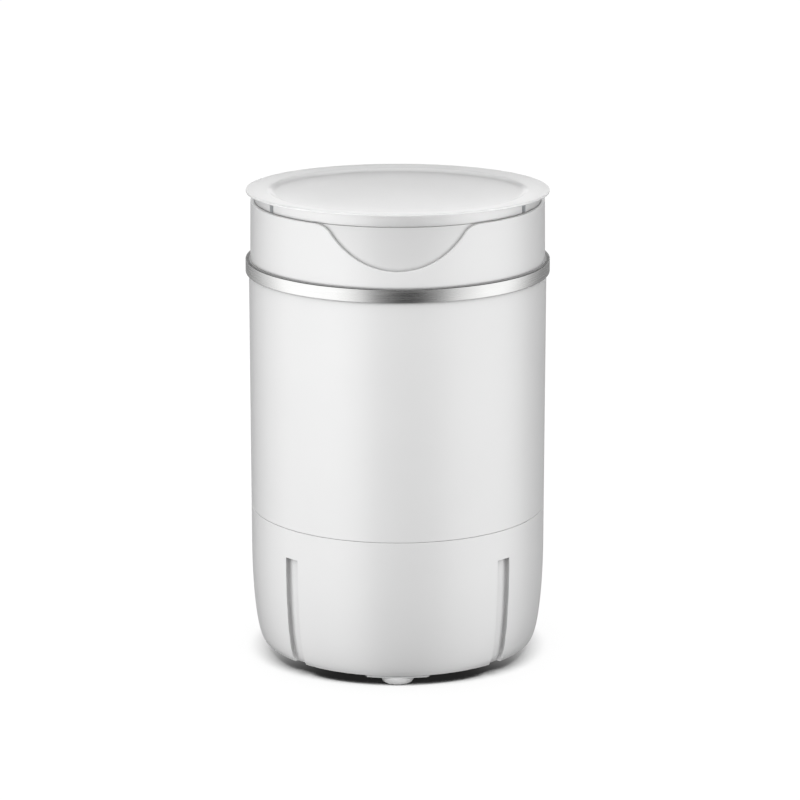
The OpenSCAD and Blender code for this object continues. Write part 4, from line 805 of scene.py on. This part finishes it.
# Bearing from the front, in degrees (left is negative), and the brightness that reflections see there.
stops = (
    (-180, 0.32), (-153, 0.38), (-134, 0.75), (-115, 1.5), (-92, 2.5), (-48, 2.6), (-32, 2.0), (-14, 0.45),
    (4, 0.06), (14, 0.06), (28, 0.5), (48, 1.8), (70, 2.4), (90, 2.4), (108, 1.45), (122, 0.68), (140, 0.42),
    (180, 0.32),
)
world = bpy.data.worlds.new("studio")
bpy.context.scene.world = world
world.use_nodes = True
world.cycles.sampling_method = "NONE"
tree = world.node_tree
tree.nodes.clear()
ray = add(tree, "ShaderNodeLightPath")
toward = add(tree, "ShaderNodeTexCoord").outputs["Generated"]
split = add(tree, "ShaderNodeSeparateXYZ", None, {0: toward})
ahead = add(tree, "ShaderNodeMath", {"operation": "MULTIPLY", 1: -1.0}, {0: split.outputs["Y"]})
sweep = add(tree, "ShaderNodeMath", {"operation": "ARCTAN2"}, {0: split.outputs["X"], 1: ahead.outputs[0]})
round_share = add(
    tree, "ShaderNodeMapRange", {"From Min": -math.pi, "From Max": math.pi, "To Min": 0.0, "To Max": 1.0},
    {"Value": sweep.outputs[0]},
)
panels = add(tree, "ShaderNodeValToRGB", None, {"Fac": round_share.outputs[0]})
panels.color_ramp.interpolation = "EASE"
elements = panels.color_ramp.elements
while len(elements) > 1:
    elements.remove(elements[-1])
for k, (degrees, level) in enumerate(stops):
    share = (degrees + 180) / 360
    stop = elements[0] if k == 0 else elements.new(share)
    stop.position = share
    stop.color = (level / panel_gain, level / panel_gain, level / panel_gain, 1)
# The panels fade towards the ground.
ground = add(
    tree, "ShaderNodeMapRange", {"From Min": -1.0, "From Max": -0.35, "To Min": panel_low_gain, "To Max": panel_gain},
    {"Value": split.outputs["Z"]},
)
around = add(tree, "ShaderNodeBackground", None, {"Color": panels.outputs[0], "Strength": ground.outputs[0]})
# Above eye level an even ceiling is mirrored in the lid's top, and falls off with height.
above = add(tree, "ShaderNodeMapRange", {"From Min": -0.02, "From Max": 0.1}, {"Value": split.outputs["Z"]})
fall = add(
    tree, "ShaderNodeMapRange", {"From Min": 0.08, "From Max": 0.25, "To Min": ceiling_low, "To Max": ceiling_high},
    {"Value": split.outputs["Z"]},
)
ceiling = add(tree, "ShaderNodeBackground", {"Color": white}, {"Strength": fall.outputs[0]})
mirrored = add(
    tree, "ShaderNodeMixShader", None, {0: above.outputs[0], 1: around.outputs[0], 2: ceiling.outputs[0]}
)
rear = add(
    tree, "ShaderNodeMapRange", {"From Min": 0.0, "From Max": 1.0, "To Min": sky_front, "To Max": sky_rear},
    {"Value": split.outputs["Y"]},
)
sky = add(tree, "ShaderNodeBackground", {"Color": white}, {"Strength": rear.outputs[0]})
backdrop = add(tree, "ShaderNodeBackground", {"Color": white, "Strength": 1.0})
seen = add(
    tree, "ShaderNodeMath", {"operation": "MAXIMUM"},
    {0: ray.outputs["Is Camera Ray"], 1: ray.outputs["Is Transmission Ray"]},
)
lighting = add(
    tree, "ShaderNodeMixShader", None, {0: ray.outputs["Is Glossy Ray"], 1: sky.outputs[0], 2: mirrored.outputs[0]}
)
whole = add(
    tree, "ShaderNodeMixShader", None, {0: seen.outputs[0], 1: lighting.outputs[0], 2: backdrop.outputs[0]}
)
add(tree, "ShaderNodeOutputWorld", None, {"Surface": whole.outputs[0]})

lamp_z = 0.37
lamp = bpy.data.lights.new("key_softbox", "AREA")
lamp.shape = "RECTANGLE"
lamp.size, lamp.size_y = 0.7, 0.08
lamp.energy = 1.72
key = bpy.data.objects.new("key_softbox", lamp)
bpy.context.scene.collection.objects.link(key)
key.location = (-0.1, -0.77, lamp_z)
key.visible_glossy = False
key.rotation_euler = (Vector((0, 0, lamp_z)) - key.location).to_track_quat("-Z", "Y").to_euler()


# Camera: a long lens straight in front, a little above the lid, where the photo was taken.
# It is fitted to the rings of lid, band, seam and base.
camera_away, camera_tilt, camera_aim = 2.7, math.radians(14.625), Vector((0, 0, 0.20965))
lens = bpy.data.cameras.new("camera")
lens.lens = 148.16
lens.sensor_width = 36.0
lens.shift_x = 0.0029
lens.clip_end = 100.0
camera = bpy.data.objects.new("camera", lens)
bpy.context.scene.collection.objects.link(camera)
camera.location = camera_aim + camera_away * Vector((0, -math.cos(camera_tilt), math.sin(camera_tilt)))
camera.rotation_euler = (math.pi / 2 - camera_tilt, 0, 0)
bpy.context.scene.camera = camera
bpy.context.scene.view_settings.view_transform = "Standard"
